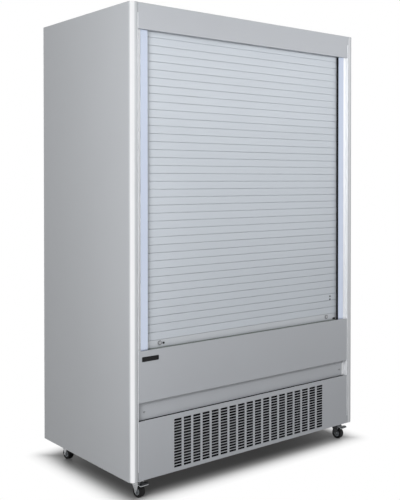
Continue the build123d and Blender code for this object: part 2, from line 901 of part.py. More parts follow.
# ---------------------------------------------------------------- shutter barrel
plate_x = liner_x - rest_gap - bracket_thickness
barrel_half = plate_x - barrel_end_gap
with BuildPart() as barrel_brackets:
    for sign in (-1, 1):
        with BuildSketch(lengthwise(sign * (plate_x + bracket_thickness / 2))) as ear:
            bracket_top = roof_bottom + bracket_rise
            with Locations((barrel_y, (barrel_z - bracket_reach + bracket_top) / 2)):
                Rectangle(bracket_width, bracket_top - barrel_z + bracket_reach)
            fillet(ear.vertices(), radius=bracket_rounding)
        extrude(amount=bracket_thickness / 2, both=True)
        with BuildSketch(lengthwise(sign * plate_x)):
            with Locations((barrel_y, barrel_z)):
                Circle(gudgeon_diameter / 2)
        extrude(amount=-sign * gudgeon_length)
save(barrel_brackets, "barrel_brackets")

barrel_radius = barrel_diameter / 2
with BuildPart() as shutter_barrel:
    with BuildSketch(Plane.XY.move(Location((0, barrel_y, barrel_z)))):
        outline(
            (-barrel_half, gudgeon_diameter / 2 + shaft_clearance),
            (-barrel_half, barrel_radius),
            (barrel_half, barrel_radius),
            (barrel_half, gudgeon_diameter / 2 + shaft_clearance),
            (barrel_half - barrel_cap, gudgeon_diameter / 2 + shaft_clearance),
            (barrel_half - barrel_cap, barrel_radius - barrel_wall),
            (-barrel_half + barrel_cap, barrel_radius - barrel_wall),
            (-barrel_half + barrel_cap, gudgeon_diameter / 2 + shaft_clearance),
        )
    revolve(axis=Axis((0, barrel_y, barrel_z), (1, 0, 0)))
save(shutter_barrel, "shutter_barrel")

# ---------------------------------------------------------------- shutter curtain
hook_slot = slat_pitch - slat_body       # height taken by hook and apron
hook_top_drop = slat_pitch - hook_play


def slat_outline(foot):
    """Section of one foamed slat whose body starts at height foot.

    The hook on top hangs on the ledge of the slat above, and the apron in
    front covers the hook of the slat below.
    """
    hook_top = foot + hook_top_drop
    body_top = foot + slat_body
    apron_foot = foot - hook_slot + slat_groove
    ledge_top = foot - ledge_drop
    neck_back = slat_front + neck_front + slat_skin
    outline(
        (slat_front, apron_foot),
        (slat_front + slat_skin, apron_foot),
        (slat_front + slat_skin, foot),
        (slat_back - slat_skin, foot),
        (slat_back - slat_skin, ledge_top),
        (neck_back + ledge_play, ledge_top),
        (neck_back + ledge_play, ledge_top - ledge_sheet),
        (slat_back, ledge_top - ledge_sheet),
        (slat_back, body_top),
        (neck_back, body_top),
        (neck_back, hook_top - hook_sheet),
        (slat_front + slat_hook, hook_top - hook_sheet),
        (slat_front + slat_hook, hook_top),
        (slat_front + neck_front, hook_top),
        (slat_front + neck_front, body_top),
        (slat_front, body_top),
    )


first_foot = bar_top + hook_slot - slat_groove / 2
with BuildPart() as shutter_curtain:
    for k in range(slat_count):
        with BuildSketch(lengthwise()):
            slat_outline(first_foot + k * slat_pitch)
        extrude(amount=slat_half, both=True)
    last_top = first_foot + (slat_count - 1) * slat_pitch + slat_body
    strap_front = slat_back - slat_skin - strap_thickness
    strap_foot = last_top + rest_gap
    drum_front = barrel_y - barrel_radius
    strap_pitch = 2 * barrel_half / strap_count
    for k in range(strap_count):
        with BuildSketch(lengthwise((k - (strap_count - 1) / 2) * strap_pitch)):
            outline(
                (strap_front, strap_foot),
                (drum_front - rest_gap - strap_thickness, barrel_z),
                (drum_front - rest_gap, barrel_z),
                (strap_front + strap_thickness, strap_foot),
            )
        extrude(amount=strap_width / 2, both=True)
save(shutter_curtain, "shutter_curtain")

# ---------------------------------------------------------------- bottom bar
bar_half = slat_half - slat_clearance
hook_foot = first_foot - slat_pitch
bar_channel = 3.0                        # depth of the channel that holds the seal
with BuildPart() as bottom_bar:
    with BuildSketch(lengthwise()):
        outline(
            (slat_front, bar_bottom),
            (slat_front, hook_foot + slat_body),
            (slat_front + neck_front, hook_foot + slat_body),
            (slat_front + neck_front, hook_foot + hook_top_drop),
            (slat_front + slat_hook, hook_foot + hook_top_drop),
            (slat_front + slat_hook, hook_foot + hook_top_drop - hook_sheet),
            (slat_front + neck_front + slat_skin, hook_foot + hook_top_drop - hook_sheet),
            (slat_front + neck_front + slat_skin, hook_foot + slat_body),
            (slat_back, hook_foot + slat_body),
            (slat_back, bar_bottom),
            (slat_back - bar_wall, bar_bottom),
            (slat_back - bar_wall, bar_bottom + bar_channel),
            (slat_front + bar_wall, bar_bottom + bar_channel),
            (slat_front + bar_wall, bar_bottom),
        )
    extrude(amount=bar_half, both=True)
    with BuildSketch(across(slat_front)):
        with Locations((-lock_x, lock_z), (lock_x, lock_z)):
            Circle(lock_sleeve_diameter / 2 + shaft_clearance)
    extrude(amount=-slat_thickness, mode=Mode.SUBTRACT)
save(bottom_bar, "bottom_bar")

seal_inset = 0.6
seal_play = 0.2                          # seal's web in the bar's channel
with BuildPart() as bottom_seal:
    seal_half = guide_inner - seal_end_gap
    seal_front = slat_front + seal_inset
    seal_back = slat_back - seal_inset
    web_front = slat_front + bar_wall + seal_play
    web_back = slat_back - bar_wall - seal_play
    web_top = bar_bottom + bar_channel - seal_play
    with BuildSketch(lengthwise()):
        outline(
            (seal_front, bar_bottom - seal_height),
            (seal_front, bar_bottom - rest_gap),
            (web_front, bar_bottom - rest_gap),
            (web_front, web_top),
            (web_back, web_top),
            (web_back, bar_bottom - rest_gap),
            (seal_back, bar_bottom - rest_gap),
            (seal_back, bar_bottom - seal_height),
        )
    extrude(amount=seal_half, both=True)
save(bottom_seal, "bottom_seal")

with BuildPart() as bar_stops:
    with BuildSketch(across(slat_front - rest_gap)):
        with Locations((stop_from_side - half_width, bar_bottom + stop_above_bar)):
            Circle(stop_diameter / 2)
        with Locations((half_width - oval_stop_from_side, bar_bottom + oval_stop_above_bar)):
            SlotOverall(oval_stop_length, oval_stop_height)
    extrude(amount=stop_proud)
    fillet(bar_stops.faces().group_by(Axis.Y)[0].edges(), radius=stop_rounding)
save(bar_stops, "bar_stops")

with BuildPart() as lock_rings:
    for sign in (-1, 1):
        with BuildSketch(across(slat_front - rest_gap)):
            with Locations((sign * lock_x, lock_z)):
                Circle(lock_ring_diameter / 2)
                Circle(lock_plug_diameter / 2 + shaft_clearance, mode=Mode.SUBTRACT)
        extrude(amount=lock_ring_height)
        with BuildSketch(across(slat_front - rest_gap)):
            with Locations((sign * lock_x, lock_z)):
                Circle(lock_sleeve_diameter / 2)
                Circle(lock_plug_diameter / 2 + shaft_clearance, mode=Mode.SUBTRACT)
        extrude(amount=-(slat_thickness + rest_gap))
    ring_front = lock_rings.edges().group_by(Axis.Y)[0].filter_by(
        lambda e: e.radius > lock_sleeve_diameter / 2
    )
    chamfer(ring_front, length=ring_chamfer)
save(lock_rings, "lock_rings")

plug_front = slat_front - rest_gap - lock_ring_height + plug_inset
for side, sign in (("left", -1), ("right", 1)):
    with BuildPart() as lock_cam:
        with BuildSketch(across(plug_front)):
            with Locations((sign * lock_x, lock_z)):
                Circle(lock_plug_diameter / 2)
        extrude(amount=-(cam_front - plug_front))
        with BuildSketch(across(plug_front)):
            with Locations((sign * lock_x, lock_z)):
                Rectangle(keyway_width, keyway_height)
        extrude(amount=-keyway_depth, mode=Mode.SUBTRACT)
        with BuildSketch(across(cam_front)):
            with Locations((sign * lock_x + (cam_length - cam_radius) / 2, lock_z)):
                SlotOverall(cam_length + cam_radius, cam_width)
        extrude(amount=-cam_thickness)
    save(lock_cam, f"lock_cam_{side}")

# ---------------------------------------------------------------- refrigeration
pan_floor = base_z + pan_wall
with BuildPart() as compressor:
    radius = compressor_diameter / 2
    bottom = pan_floor + compressor_foot_height
    with BuildSketch(across(compressor_y)) as dome:
        with Locations((compressor_x + radius / 2, bottom + compressor_height / 2)):
            Rectangle(radius, compressor_height)
        rim = dome.vertices().group_by(Axis.X)[-1].sort_by(Axis.Z)
        fillet(rim[0], radius=compressor_rim)
        fillet(rim[1], radius=radius - compressor_dome_flat)
    revolve(axis=Axis((compressor_x, compressor_y, 0), (0, 0, 1)))
    foot_length = compressor_diameter + compressor_foot_spread
    foot_depth = compressor_diameter
    with BuildSketch(level(bottom - compressor_foot_plate / 2)):
        with Locations((compressor_x, compressor_y)):
            RectangleRounded(foot_length, foot_depth, compressor_foot_corner)
    extrude(amount=compressor_foot_plate)
    with BuildSketch(level(pan_floor)):
        with Locations((compressor_x, compressor_y)):
            foot_pitches = (
                foot_length - 2 * compressor_foot_inset,
                foot_depth - 2 * compressor_foot_inset,
            )
            with GridLocations(*foot_pitches, 2, 2):
                Circle(compressor_foot_diameter / 2)
    extrude(amount=compressor_foot_height)
    with BuildSketch(level(bottom + terminal_rise)):
        terminal_out = radius + terminal_depth / 2 - terminal_sunk
        with Locations((compressor_x, compressor_y - terminal_out)):
            RectangleRounded(terminal_width, terminal_depth, terminal_corner)
    extrude(amount=terminal_height)
save(compressor, "compressor")

condenser_front = pan_front + pan_wall + condenser_gap
coils = {
    "condenser_coil": (
        condenser_x, condenser_front, pan_floor, condenser_width, condenser_height,
        condenser_thickness, condenser_fin_pitch, condenser_bends,
    ),
    "evaporator_coil": (
        0.0, evaporator_front, tub_floor + rest_gap, evaporator_width, evaporator_height,
        evaporator_thickness, evaporator_fin_pitch, evaporator_bends,
    ),
}
for label, (middle, front, foot, width, height, depth, fin_pitch, bends) in coils.items():
    with BuildPart() as coil:
        with BuildSketch(level(foot)):
            with Locations((middle, front + depth / 2)):
                Rectangle(width, depth)
        extrude(amount=height)
        with BuildSketch(level(foot + fin_rise)):
            with Locations((middle, front)):
                with GridLocations(fin_pitch, 1, int((width - 2 * fin_border) // fin_pitch), 1):
                    Rectangle(fin_pitch - fin_thickness, 2 * (depth - coil_spine))
        extrude(amount=height, mode=Mode.SUBTRACT)
        bend_pitch = height / bends
        for k in range(bends):
            turn_z = foot + bend_pitch * (k + 0.5)
            with BuildSketch(lengthwise(middle + width / 2)):
                with Locations((front + depth / 2, turn_z - bend_pitch / 4)):
                    Circle(pipe_diameter / 2)
            revolve(axis=Axis((middle + width / 2, 0, turn_z), (0, -1, 0)), revolution_arc=180)
    save(coil, label)


def rotor(centre_x, centre_y, centre_z, diameter, hub_diameter, hub_length):
    """Fan wheel turning about a shaft along Y, with pitched blades on its hub."""
    with BuildPart() as wheel:
        with BuildSketch(across(centre_y - hub_length / 2)):
            with Locations((centre_x, centre_z)):
                Circle(hub_diameter / 2)
        extrude(amount=-hub_length)
        for k in range(fan_blades):
            turn = 2 * pi * k / fan_blades
            pitch = radians(fan_pitch_angle)
            chord = Vector(-sin(turn) * cos(pitch), -sin(pitch), cos(turn) * cos(pitch))
            arm = Vector(cos(turn), 0, sin(turn))
            with BuildSketch(Plane((centre_x, centre_y, centre_z), arm, arm.cross(chord))):
                outline(
                    (hub_diameter / 2 - blade_root, -hub_length * blade_root_half),
                    (diameter / 2, -hub_length * blade_tip_half),
                    (diameter / 2, hub_length * blade_tip_half),
                    (hub_diameter / 2 - blade_root, hub_length * blade_root_half),
                )
            extrude(amount=fan_blade_thickness / 2, both=True)
        with BuildSketch(across(centre_y + hub_length)):
            with Locations((centre_x, centre_z)):
                Circle(diameter / 2)
        extrude(amount=2 * hub_length, mode=Mode.INTERSECT)
        with BuildSketch(across(centre_y + hub_length / 2)):
            with Locations((centre_x, centre_z)):
                Circle(shaft_diameter / 2 + shaft_clearance)
        extrude(amount=hub_length - shaft_cover, mode=Mode.SUBTRACT)
    return wheel


shroud_y = condenser_front + condenser_thickness + rest_gap
condenser_fan_z = pan_floor + condenser_height / 2
condenser_fan_y = shroud_y + sheet + condenser_fan_gap
motor_front = condenser_fan_y + condenser_hub / 2 + motor_gap
with BuildPart() as condenser_shroud:
    ring = condenser_fan_diameter / 2 + fan_tip_gap
    with BuildSketch(across(shroud_y)):
        with Locations((condenser_x, condenser_fan_z)):
            Rectangle(condenser_width, condenser_height)
            Circle(ring, mode=Mode.SUBTRACT)
    extrude(amount=-sheet)
    with BuildSketch(across(shroud_y)):
        with Locations((condenser_x, condenser_fan_z)):
            Circle(ring + sheet)
            Circle(ring, mode=Mode.SUBTRACT)
    extrude(amount=-shroud_depth)
    with BuildSketch(across(motor_front)):
        with Locations((condenser_x, condenser_fan_z)):
            Circle(motor_diameter / 2)
    extrude(amount=-motor_length)
    arm_y = shroud_y + shroud_depth - 2 * weld_lap
    with BuildSketch(across(arm_y)):
        with Locations((condenser_x, condenser_fan_z)):
            Rectangle(2 * ring + sheet, motor_arm_width)
            Circle(motor_diameter / 2 - weld_lap, mode=Mode.SUBTRACT)
    extrude(amount=-motor_arm_thickness)
    with BuildSketch(across(condenser_fan_y - condenser_hub / 2 + shaft_start)):
        with Locations((condenser_x, condenser_fan_z)):
            Circle(shaft_diameter / 2)
    extrude(amount=-(motor_front - condenser_fan_y + condenser_hub / 2))
save(condenser_shroud, "condenser_shroud")

condenser_fan = rotor(
    condenser_x, condenser_fan_y, condenser_fan_z,
    condenser_fan_diameter, condenser_hub_diameter, condenser_hub,
)
save(condenser_fan, "condenser_fan")

evaporator_fan_z = (tub_floor + deck_z) / 2
evaporator_fan_y = evaporator_front - evaporator_fan_gap
plate_y = evaporator_fan_y - fan_plate_gap
evaporator_motor_front = evaporator_fan_y + evaporator_hub / 2 + evaporator_motor_gap
evaporator_arm_y = evaporator_motor_front + evaporator_arm_set
with BuildPart() as fan_plate:
    hole = evaporator_fan_diameter / 2 + fan_tip_gap
    with BuildSketch(across(plate_y)):
        with Locations((0, (tub_floor + deck_z - sheet) / 2)):
            Rectangle(2 * (deck_x - deck_end_gap), deck_z - sheet - tub_floor - 2 * rest_gap)
        with Locations((-evaporator_fan_x, evaporator_fan_z), (evaporator_fan_x, evaporator_fan_z)):
            Circle(hole, mode=Mode.SUBTRACT)
    extrude(amount=-sheet)
    for sign in (-1, 1):
        middle = sign * evaporator_fan_x
        with BuildSketch(across(evaporator_motor_front)):
            with Locations((middle, evaporator_fan_z)):
                Circle(evaporator_motor_diameter / 2)
        extrude(amount=-evaporator_motor_length)
        with BuildSketch(across(evaporator_arm_y)):
            with Locations((middle, evaporator_fan_z)):
                Rectangle(2 * hole + 3 * evaporator_arm_post, evaporator_arm_width)
        extrude(amount=-motor_arm_thickness)
        with BuildSketch(across(plate_y)):
            with Locations((middle, evaporator_fan_z)):
                with GridLocations(2 * (hole + evaporator_arm_post), 1, 2, 1):
                    Rectangle(evaporator_arm_post, evaporator_arm_width)
        extrude(amount=-(evaporator_arm_y + motor_arm_thickness - plate_y))
        with BuildSketch(across(evaporator_fan_y - evaporator_hub / 2 + shaft_start)):
            with Locations((middle, evaporator_fan_z)):
                Circle(shaft_diameter / 2)
        extrude(amount=-(evaporator_motor_front - evaporator_fan_y + evaporator_hub / 2))
save(fan_plate, "fan_plate")

for side, sign in (("left", -1), ("right", 1)):
    evaporator_fan = rotor(
        sign * evaporator_fan_x, evaporator_fan_y, evaporator_fan_z,
        evaporator_fan_diameter, evaporator_hub_diameter, evaporator_hub,
    )
    save(evaporator_fan, f"evaporator_fan_{side}")

with BuildPart() as drain_tray:
    with BuildSketch(level(pan_floor)):
        with Locations((tray_x, tray_y)):
            RectangleRounded(tray_width, tray_depth, tray_corner)
    extrude(amount=tray_height)
    tray_mouth = drain_tray.faces().sort_by(Axis.Z)[-1]
    offset(amount=-tray_wall, openings=tray_mouth)
save(drain_tray, "drain_tray")

box_y = pan_front + pan_wall + box_inset
switch_z = pan_floor + box_height - switch_from_top
with BuildPart() as electrical_box:
    with BuildSketch(level(pan_floor)):
        with Locations((box_x, box_y + box_depth / 2)):
            Rectangle(box_width, box_depth)
    extrude(amount=box_height)
    box_rear = electrical_box.faces().sort_by(Axis.Y)[-1]
    offset(amount=-box_wall, openings=box_rear)
    with BuildSketch(across(box_y)):
        with Locations((box_x, switch_z)):
            Rectangle(switch_width, switch_height)
    extrude(amount=-2 * box_wall, mode=Mode.SUBTRACT)
save(electrical_box, "electrical_box")

rocker_axis_y = box_y + rocker_axis_depth
rocker_lean = radians(rocker_tilt)
with BuildPart() as light_switch:
    half_tall = switch_height / 2 - rocker_end_gap
    rocker_plane = Plane(
        (box_x, rocker_axis_y, switch_z),
        x_dir=(0, cos(rocker_lean), sin(rocker_lean)),
        z_dir=(1, 0, 0),
    )
    with BuildSketch(rocker_plane):
        outline(
            (-rocker_depth, half_tall),
            (-rocker_waist, 0),
            (-rocker_depth, -half_tall),
            (0, -half_tall),
            (rocker_nose, 0),
            (0, half_tall),
        )
    extrude(amount=switch_width / 2 - switch_gap, both=True)
save(light_switch, "light_switch")

pipe_y = condenser_front + condenser_thickness / 2
compressor_side = compressor_diameter / 2 + rest_gap
pipe_rise = pan_floor + pipe_height
pipe_top = tub_bottom - rest_gap
discharge_x = compressor_x + compressor_side + discharge_run
suction_x = compressor_x - compressor_side - suction_run
liquid_x = condenser_x - condenser_width / 2 + liquid_inset
liquid_y = compressor_y + liquid_run
liquid_z = tub_bottom - liquid_drop
discharge_line = [
    (compressor_x + compressor_side, compressor_y, pipe_rise),
    (discharge_x, compressor_y, pipe_rise),
    (discharge_x, pipe_y, pipe_rise),
    (condenser_x - condenser_width / 2 - rest_gap, pipe_y, pipe_rise),
]
suction_line = [
    (compressor_x - compressor_side, compressor_y, pipe_rise),
    (suction_x, compressor_y, pipe_rise),
    (suction_x, compressor_y, pipe_top),
]
liquid_line = [
    (liquid_x, pipe_y, pan_floor + condenser_height + rest_gap),
    (liquid_x, pipe_y, liquid_z),
    (liquid_x, liquid_y, liquid_z),
    (liquid_x, liquid_y, pipe_top),
]
pipe_bends = (
    (discharge_line, pipe_bend), (suction_line, pipe_bend), (liquid_line, liquid_bend),
)
with BuildPart() as pipework:
    for route, bend in pipe_bends:
        with BuildLine() as pipe_line:
            FilletPolyline(*route, radius=bend)
        with BuildSketch(Plane(pipe_line.wire() @ 0, z_dir=pipe_line.wire() % 0)):
            Circle(pipe_diameter / 2)
        sweep(path=pipe_line.wire())
save(pipework, "pipework")

# ---------------------------------------------------------------- castors
castor_x = half_width - castor_side_inset
castor_places = {
    "front_left": (-castor_x, front_y + castor_front_inset),
    "front_right": (castor_x, front_y + castor_front_inset),
    "rear_left": (-castor_x, back_y - castor_rear_inset),
    "rear_right": (castor_x, back_y - castor_rear_inset),
}
plate_bottom = base_z - castor_plate_thickness
race_bottom = plate_bottom - castor_race_height
crown_top = race_bottom - rest_gap
crown_bottom = crown_top - fork_crown
axle_z = wheel_diameter / 2
fork_half = wheel_width / 2 + fork_side_gap
pedal_pin_z = axle_z + wheel_diameter / 2 + pedal_pin / 2 + pedal_pin_gap
trail_way = Vector(cos(radians(castor_turn)), sin(radians(castor_turn)), 0)
axle_way = Vector(trail_way.Y, -trail_way.X, 0)


def fork_plane(place, aside):
    """Upright plane through a castor: local x trails the swivel, local y is +Z."""
    return Plane(Vector(*place, 0) + axle_way * aside, x_dir=trail_way, z_dir=axle_way)


plate_hole_pitch = castor_plate - 2 * plate_hole_inset
with BuildPart() as castor_plates:
    for place in castor_places.values():
        with BuildSketch(level(plate_bottom)):
            with Locations(place):
                RectangleRounded(castor_plate, castor_plate, castor_plate_corner)
                with GridLocations(plate_hole_pitch, plate_hole_pitch, 2, 2):
                    Circle(plate_hole / 2, mode=Mode.SUBTRACT)
        extrude(amount=castor_plate_thickness)
        with BuildSketch(level(race_bottom)):
            with Locations(place):
                Circle(castor_race_diameter / 2)
        extrude(amount=castor_race_height, taper=race_taper)
        with BuildSketch(level(crown_bottom - rest_gap)):
            with Locations(place):
                Circle(kingpin_diameter / 2)
        extrude(amount=race_bottom - crown_bottom + rest_gap)
        with BuildSketch(level(crown_bottom - rest_gap - kingpin_head_height)):
            with Locations(place):
                Circle(kingpin_head / 2)
        extrude(amount=kingpin_head_height)
save(castor_plates, "castor_plates")

for corner, place in castor_places.items():
    braked = corner.startswith("front")
    with BuildPart() as castor_fork:
        with BuildSketch(Plane((*place, crown_bottom), x_dir=trail_way, z_dir=(0, 0, 1))):
            Circle(castor_race_diameter / 2)
            with Locations((castor_trail / 2, 0)):
                Rectangle(castor_trail, 2 * (fork_half + fork_wall))
            Circle(kingpin_diameter / 2 + shaft_clearance, mode=Mode.SUBTRACT)
        extrude(amount=crown_top - crown_bottom)
        for aside in (-fork_half - fork_wall, fork_half):
            with BuildSketch(fork_plane(place, aside)):
                with Locations((castor_trail, axle_z)):
                    Circle(fork_foot)
                head_middle = (fork_head_front - fork_head_back) / 2
                with Locations((head_middle, crown_top - fork_wall / 2)):
                    Rectangle(fork_head_front + fork_head_back, fork_wall)
                if braked:
                    with Locations((pedal_pin_run, pedal_pin_z)):
                        Circle(pedal_pin)
                make_hull()
            extrude(amount=fork_wall)
        axle_half = fork_half + fork_wall + axle_end
        with BuildSketch(fork_plane(place, -axle_half)):
            with Locations((castor_trail, axle_z)):
                Circle(axle_diameter / 2)
        extrude(amount=2 * axle_half)
        for aside in (-fork_half - fork_wall - axle_nut_height, fork_half + fork_wall):
            with BuildSketch(fork_plane(place, aside)):
                with Locations((castor_trail, axle_z)):
                    RegularPolygon(radius=axle_nut / 2, side_count=6)
            extrude(amount=axle_nut_height)
        if braked:
            with BuildSketch(fork_plane(place, -fork_half)):
                with Locations((pedal_pin_run, pedal_pin_z)):
                    Circle(pedal_pin / 2)
            extrude(amount=2 * fork_half)
    save(castor_fork, f"castor_fork_{corner}")

    with BuildPart() as castor_wheel:
        hub = Vector(*place, axle_z) + trail_way * castor_trail
        rim = wheel_diameter / 2
        half = wheel_width / 2
        boss_end = fork_half - rest_gap
        bore = axle_diameter / 2 + shaft_clearance
        wheel_section = [
            (boss_end, bore),
            (boss_end, wheel_boss / 2),
            (half - wheel_dish, wheel_boss / 2 + weld_lap),
            (half - wheel_dish, rim - tyre_height),
            (half, rim - tyre_height + weld_lap),
            (half, rim - tread_drop),
            (half - tread_drop, rim - tread_drop / 5),
            (tread_crown / 2, rim),
        ]
        with BuildSketch(Plane(hub, x_dir=axle_way, z_dir=Vector(0, 0, 1).cross(axle_way) * -1)):
            with BuildLine():
                mirrored = [(-x, y) for x, y in reversed(wheel_section)]
                Polyline(*wheel_section, *mirrored, close=True)
            make_face()
        revolve(axis=Axis(hub, axle_way))
    save(castor_wheel, f"castor_wheel_{corner}")

for side in ("left", "right"):
    place = castor_places[f"front_{side}"]
    inner_half = fork_half - pedal_side_gap
    heel = pedal_pin / 2 + pedal_eye
    pedal_top = pedal_pin_z + heel - pedal_drop
    pedal_under = pedal_top - pedal_thickness
    with BuildPart() as brake_pedal:
        with BuildSketch(fork_plane(place, -inner_half)):
            with Locations((pedal_pin_run, pedal_pin_z)):
                Circle(heel)
        extrude(amount=2 * inner_half)
        with BuildSketch(fork_plane(place, -inner_half)):
            outline(
                (pedal_pin_run, pedal_pin_z - weld_lap),
                (pedal_pin_run, pedal_top),
                (pedal_pin_run + pedal_start + weld_lap, pedal_top),
                (pedal_pin_run + pedal_start + weld_lap, pedal_under),
                (pedal_pin_run + heel, pedal_pin_z - weld_lap),
            )
        extrude(amount=2 * inner_half)
        with BuildSketch(fork_plane(place, -pedal_width / 2)):
            outline(
                (pedal_pin_run + pedal_start, pedal_under),
                (pedal_pin_run + pedal_start, pedal_top),
                (pedal_reach - pedal_tip, pedal_top),
                (pedal_reach, pedal_top - pedal_tip_drop),
                (pedal_reach, pedal_under - pedal_tip_drop),
                (pedal_reach - pedal_tip, pedal_under),
            )
        extrude(amount=pedal_width)
        with BuildSketch(Plane((*place, 0), x_dir=trail_way, z_dir=(0, 0, 1))):
            with Locations((pedal_reach / 2, 0)):
                RectangleRounded(pedal_reach, pedal_width, pedal_corner)
        extrude(amount=base_z, mode=Mode.INTERSECT)
        with BuildSketch(fork_plane(place, -inner_half)):
            with Locations((pedal_pin_run, pedal_pin_z)):
                Circle(pedal_pin / 2 + shaft_clearance)
        extrude(amount=2 * inner_half, mode=Mode.SUBTRACT)
    save(brake_pedal, f"brake_pedal_{side}")
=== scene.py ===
"""Looks of an upright multideck display fridge whose roller shutter is pulled down.

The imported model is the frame: +X to the right, +Y towards the back, +Z up, metres.
Each sub-assembly is a class that builds its meshes and dresses them, and each
finish is a frozen dataclass that builds one procedural material.
"""

import json
import logging
import math
from dataclasses import dataclass
from enum import Enum
from typing import Iterable, Sequence

import bmesh
import bpy
from mathutils import Matrix, Vector


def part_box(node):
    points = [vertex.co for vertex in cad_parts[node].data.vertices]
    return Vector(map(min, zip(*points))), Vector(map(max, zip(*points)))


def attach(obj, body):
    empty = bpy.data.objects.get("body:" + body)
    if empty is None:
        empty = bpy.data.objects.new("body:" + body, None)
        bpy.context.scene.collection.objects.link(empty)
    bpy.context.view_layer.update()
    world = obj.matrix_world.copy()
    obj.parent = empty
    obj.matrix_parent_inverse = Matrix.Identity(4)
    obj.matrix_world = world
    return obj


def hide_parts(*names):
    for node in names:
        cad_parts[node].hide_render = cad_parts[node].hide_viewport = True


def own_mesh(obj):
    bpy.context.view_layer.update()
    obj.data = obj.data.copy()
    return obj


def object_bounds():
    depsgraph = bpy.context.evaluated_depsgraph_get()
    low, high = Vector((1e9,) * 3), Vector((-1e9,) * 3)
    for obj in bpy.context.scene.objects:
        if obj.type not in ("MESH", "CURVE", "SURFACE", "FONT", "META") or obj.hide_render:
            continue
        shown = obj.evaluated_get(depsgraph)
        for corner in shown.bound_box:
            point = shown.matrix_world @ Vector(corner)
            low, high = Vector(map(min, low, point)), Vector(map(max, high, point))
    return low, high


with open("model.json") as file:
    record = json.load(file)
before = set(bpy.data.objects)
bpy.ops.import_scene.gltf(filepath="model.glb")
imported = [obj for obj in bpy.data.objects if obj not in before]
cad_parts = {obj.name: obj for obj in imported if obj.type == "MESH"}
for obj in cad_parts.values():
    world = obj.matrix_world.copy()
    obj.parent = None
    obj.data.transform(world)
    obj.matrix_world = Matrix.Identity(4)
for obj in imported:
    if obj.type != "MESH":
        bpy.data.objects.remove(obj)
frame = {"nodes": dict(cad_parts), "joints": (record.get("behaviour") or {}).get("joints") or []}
cad_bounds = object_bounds()

log = logging.getLogger("fridge")
MM = 0.001
CORNERS = ("front_left", "front_right", "rear_left", "rear_right")
# lengths in metres under which two points count as one
NEAR = 1e-6
HAIR = 1e-7
# share of an edge's length that runs along an axis, above which it counts as parallel
STRAIGHT = 0.999
# the usual sine hash: a number from 0 to 1 for each count that looks random but is fixed
SCATTER_STEP = 12.9898
SCATTER_GAIN = 43758.5453

Mesh = bmesh.types.BMesh
Vert = bmesh.types.BMVert
Edge = bmesh.types.BMEdge
Socket = bpy.types.NodeSocket
Tree = bpy.types.NodeTree
Colour = tuple[float, float, float, float]


# ------------------------------------------------------------------ colour and nodes
def linear(code: str) -> Colour:
    """Turn an sRGB hex code to linear RGBA.

    Args:
        code: Six hex digits, such as "c0c4c8".

    Returns:
        Linear red, green, blue and an alpha of 1.
    """
    channels = [int(code[i : i + 2], 16) / 255 for i in (0, 2, 4)]
    curve = [c / 12.92 if c <= 0.04045 else ((c + 0.055) / 1.055) ** 2.4 for c in channels]
    return (curve[0], curve[1], curve[2], 1.0)


def emptied(holder: bpy.types.Material | bpy.types.World) -> Tree:
    """Return the node tree of a material or world, with no node in it yet."""
    holder.use_nodes = True
    holder.node_tree.nodes.clear()
    return holder.node_tree


def add(
    tree: Tree,
    kind: str,
    settings: dict[str | int, object] | None = None,
    links: dict[str | int, Socket] | None = None,
) -> bpy.types.Node:
    """Add one node with its settings and links.

    Args:
        tree: The node tree that takes the node.
        kind: The node's type name.
        settings: Input names or indices, or the node's own properties, and their values.
        links: Input names or indices and the sockets that feed them.

    Returns:
        The new node.
    """
    node = tree.nodes.new(kind)
    for key, value in (settings or {}).items():
        if isinstance(key, str) and hasattr(node, key):
            setattr(node, key, value)
    for key, value in (settings or {}).items():
        if not (isinstance(key, str) and hasattr(node, key)):
            node.inputs[key].default_value = value
    for key, socket in (links or {}).items():
        tree.links.new(socket, node.inputs[key])
    return node


def ramp(
    tree: Tree,
    value: Socket,
    to: tuple[float, float],
    given: tuple[float, float] = (0.0, 1.0),
    kind: str = "LINEAR",
) -> Socket:
    """Map a value from one range to another and clamp it there.

    Args:
        tree: The node tree.
        value: The value to map.
        to: The range that it is mapped to.
        given: The range that it comes from.
        kind: "LINEAR", or "SMOOTHSTEP" to ease in and out.

    Returns:
        The mapped value's socket.
    """
    settings = {
        "interpolation_type": kind,
        "From Min": given[0],
        "From Max": given[1],
        "To Min": to[0],
        "To Max": to[1],
    }
    return add(tree, "ShaderNodeMapRange", settings, {"Value": value}).outputs[0]


def blended(tree: Tree, first: str, second: str, share: Socket) -> Socket:
    """Return the blend of two hex colours: a share of 0 gives the first, 1 the second."""
    settings = {"data_type": "RGBA", 6: linear(first), 7: linear(second)}
    return add(tree, "ShaderNodeMix", settings, {0: share}).outputs[2]


def darkened(tree: Tree, colour: Colour | Socket, shade: Socket) -> Socket:
    """Return a colour, a constant or a socket, multiplied by a grey shade."""
    grey = add(tree, "ShaderNodeCombineColor", {}, {k: shade for k in range(3)})
    settings = {"data_type": "RGBA", "blend_type": "MULTIPLY", 0: 1.0}
    links = {7: grey.outputs[0]}
    if isinstance(colour, Socket):
        links[6] = colour
    else:
        settings[6] = colour
    return add(tree, "ShaderNodeMix", settings, links).outputs[2]


def combined(tree: Tree, operation: str, first: Socket, second: Socket | float) -> Socket:
    """Return the result of one arithmetic operation on two values."""
    settings = {"operation": operation}
    links = {0: first}
    if isinstance(second, Socket):
        links[1] = second
    else:
        settings[1] = second
    return add(tree, "ShaderNodeMath", settings, links).outputs[0]


def vectors(
    tree: Tree, operation: str, first: Socket, second: Sequence[float] = (0.0, 0.0, 0.0)
) -> Socket:
    """Return the result of one operation on vectors, a number where it is a length."""
    node = add(tree, "ShaderNodeVectorMath", {"operation": operation, 1: second}, {0: first})
    return node.outputs["Value" if operation == "LENGTH" else "Vector"]


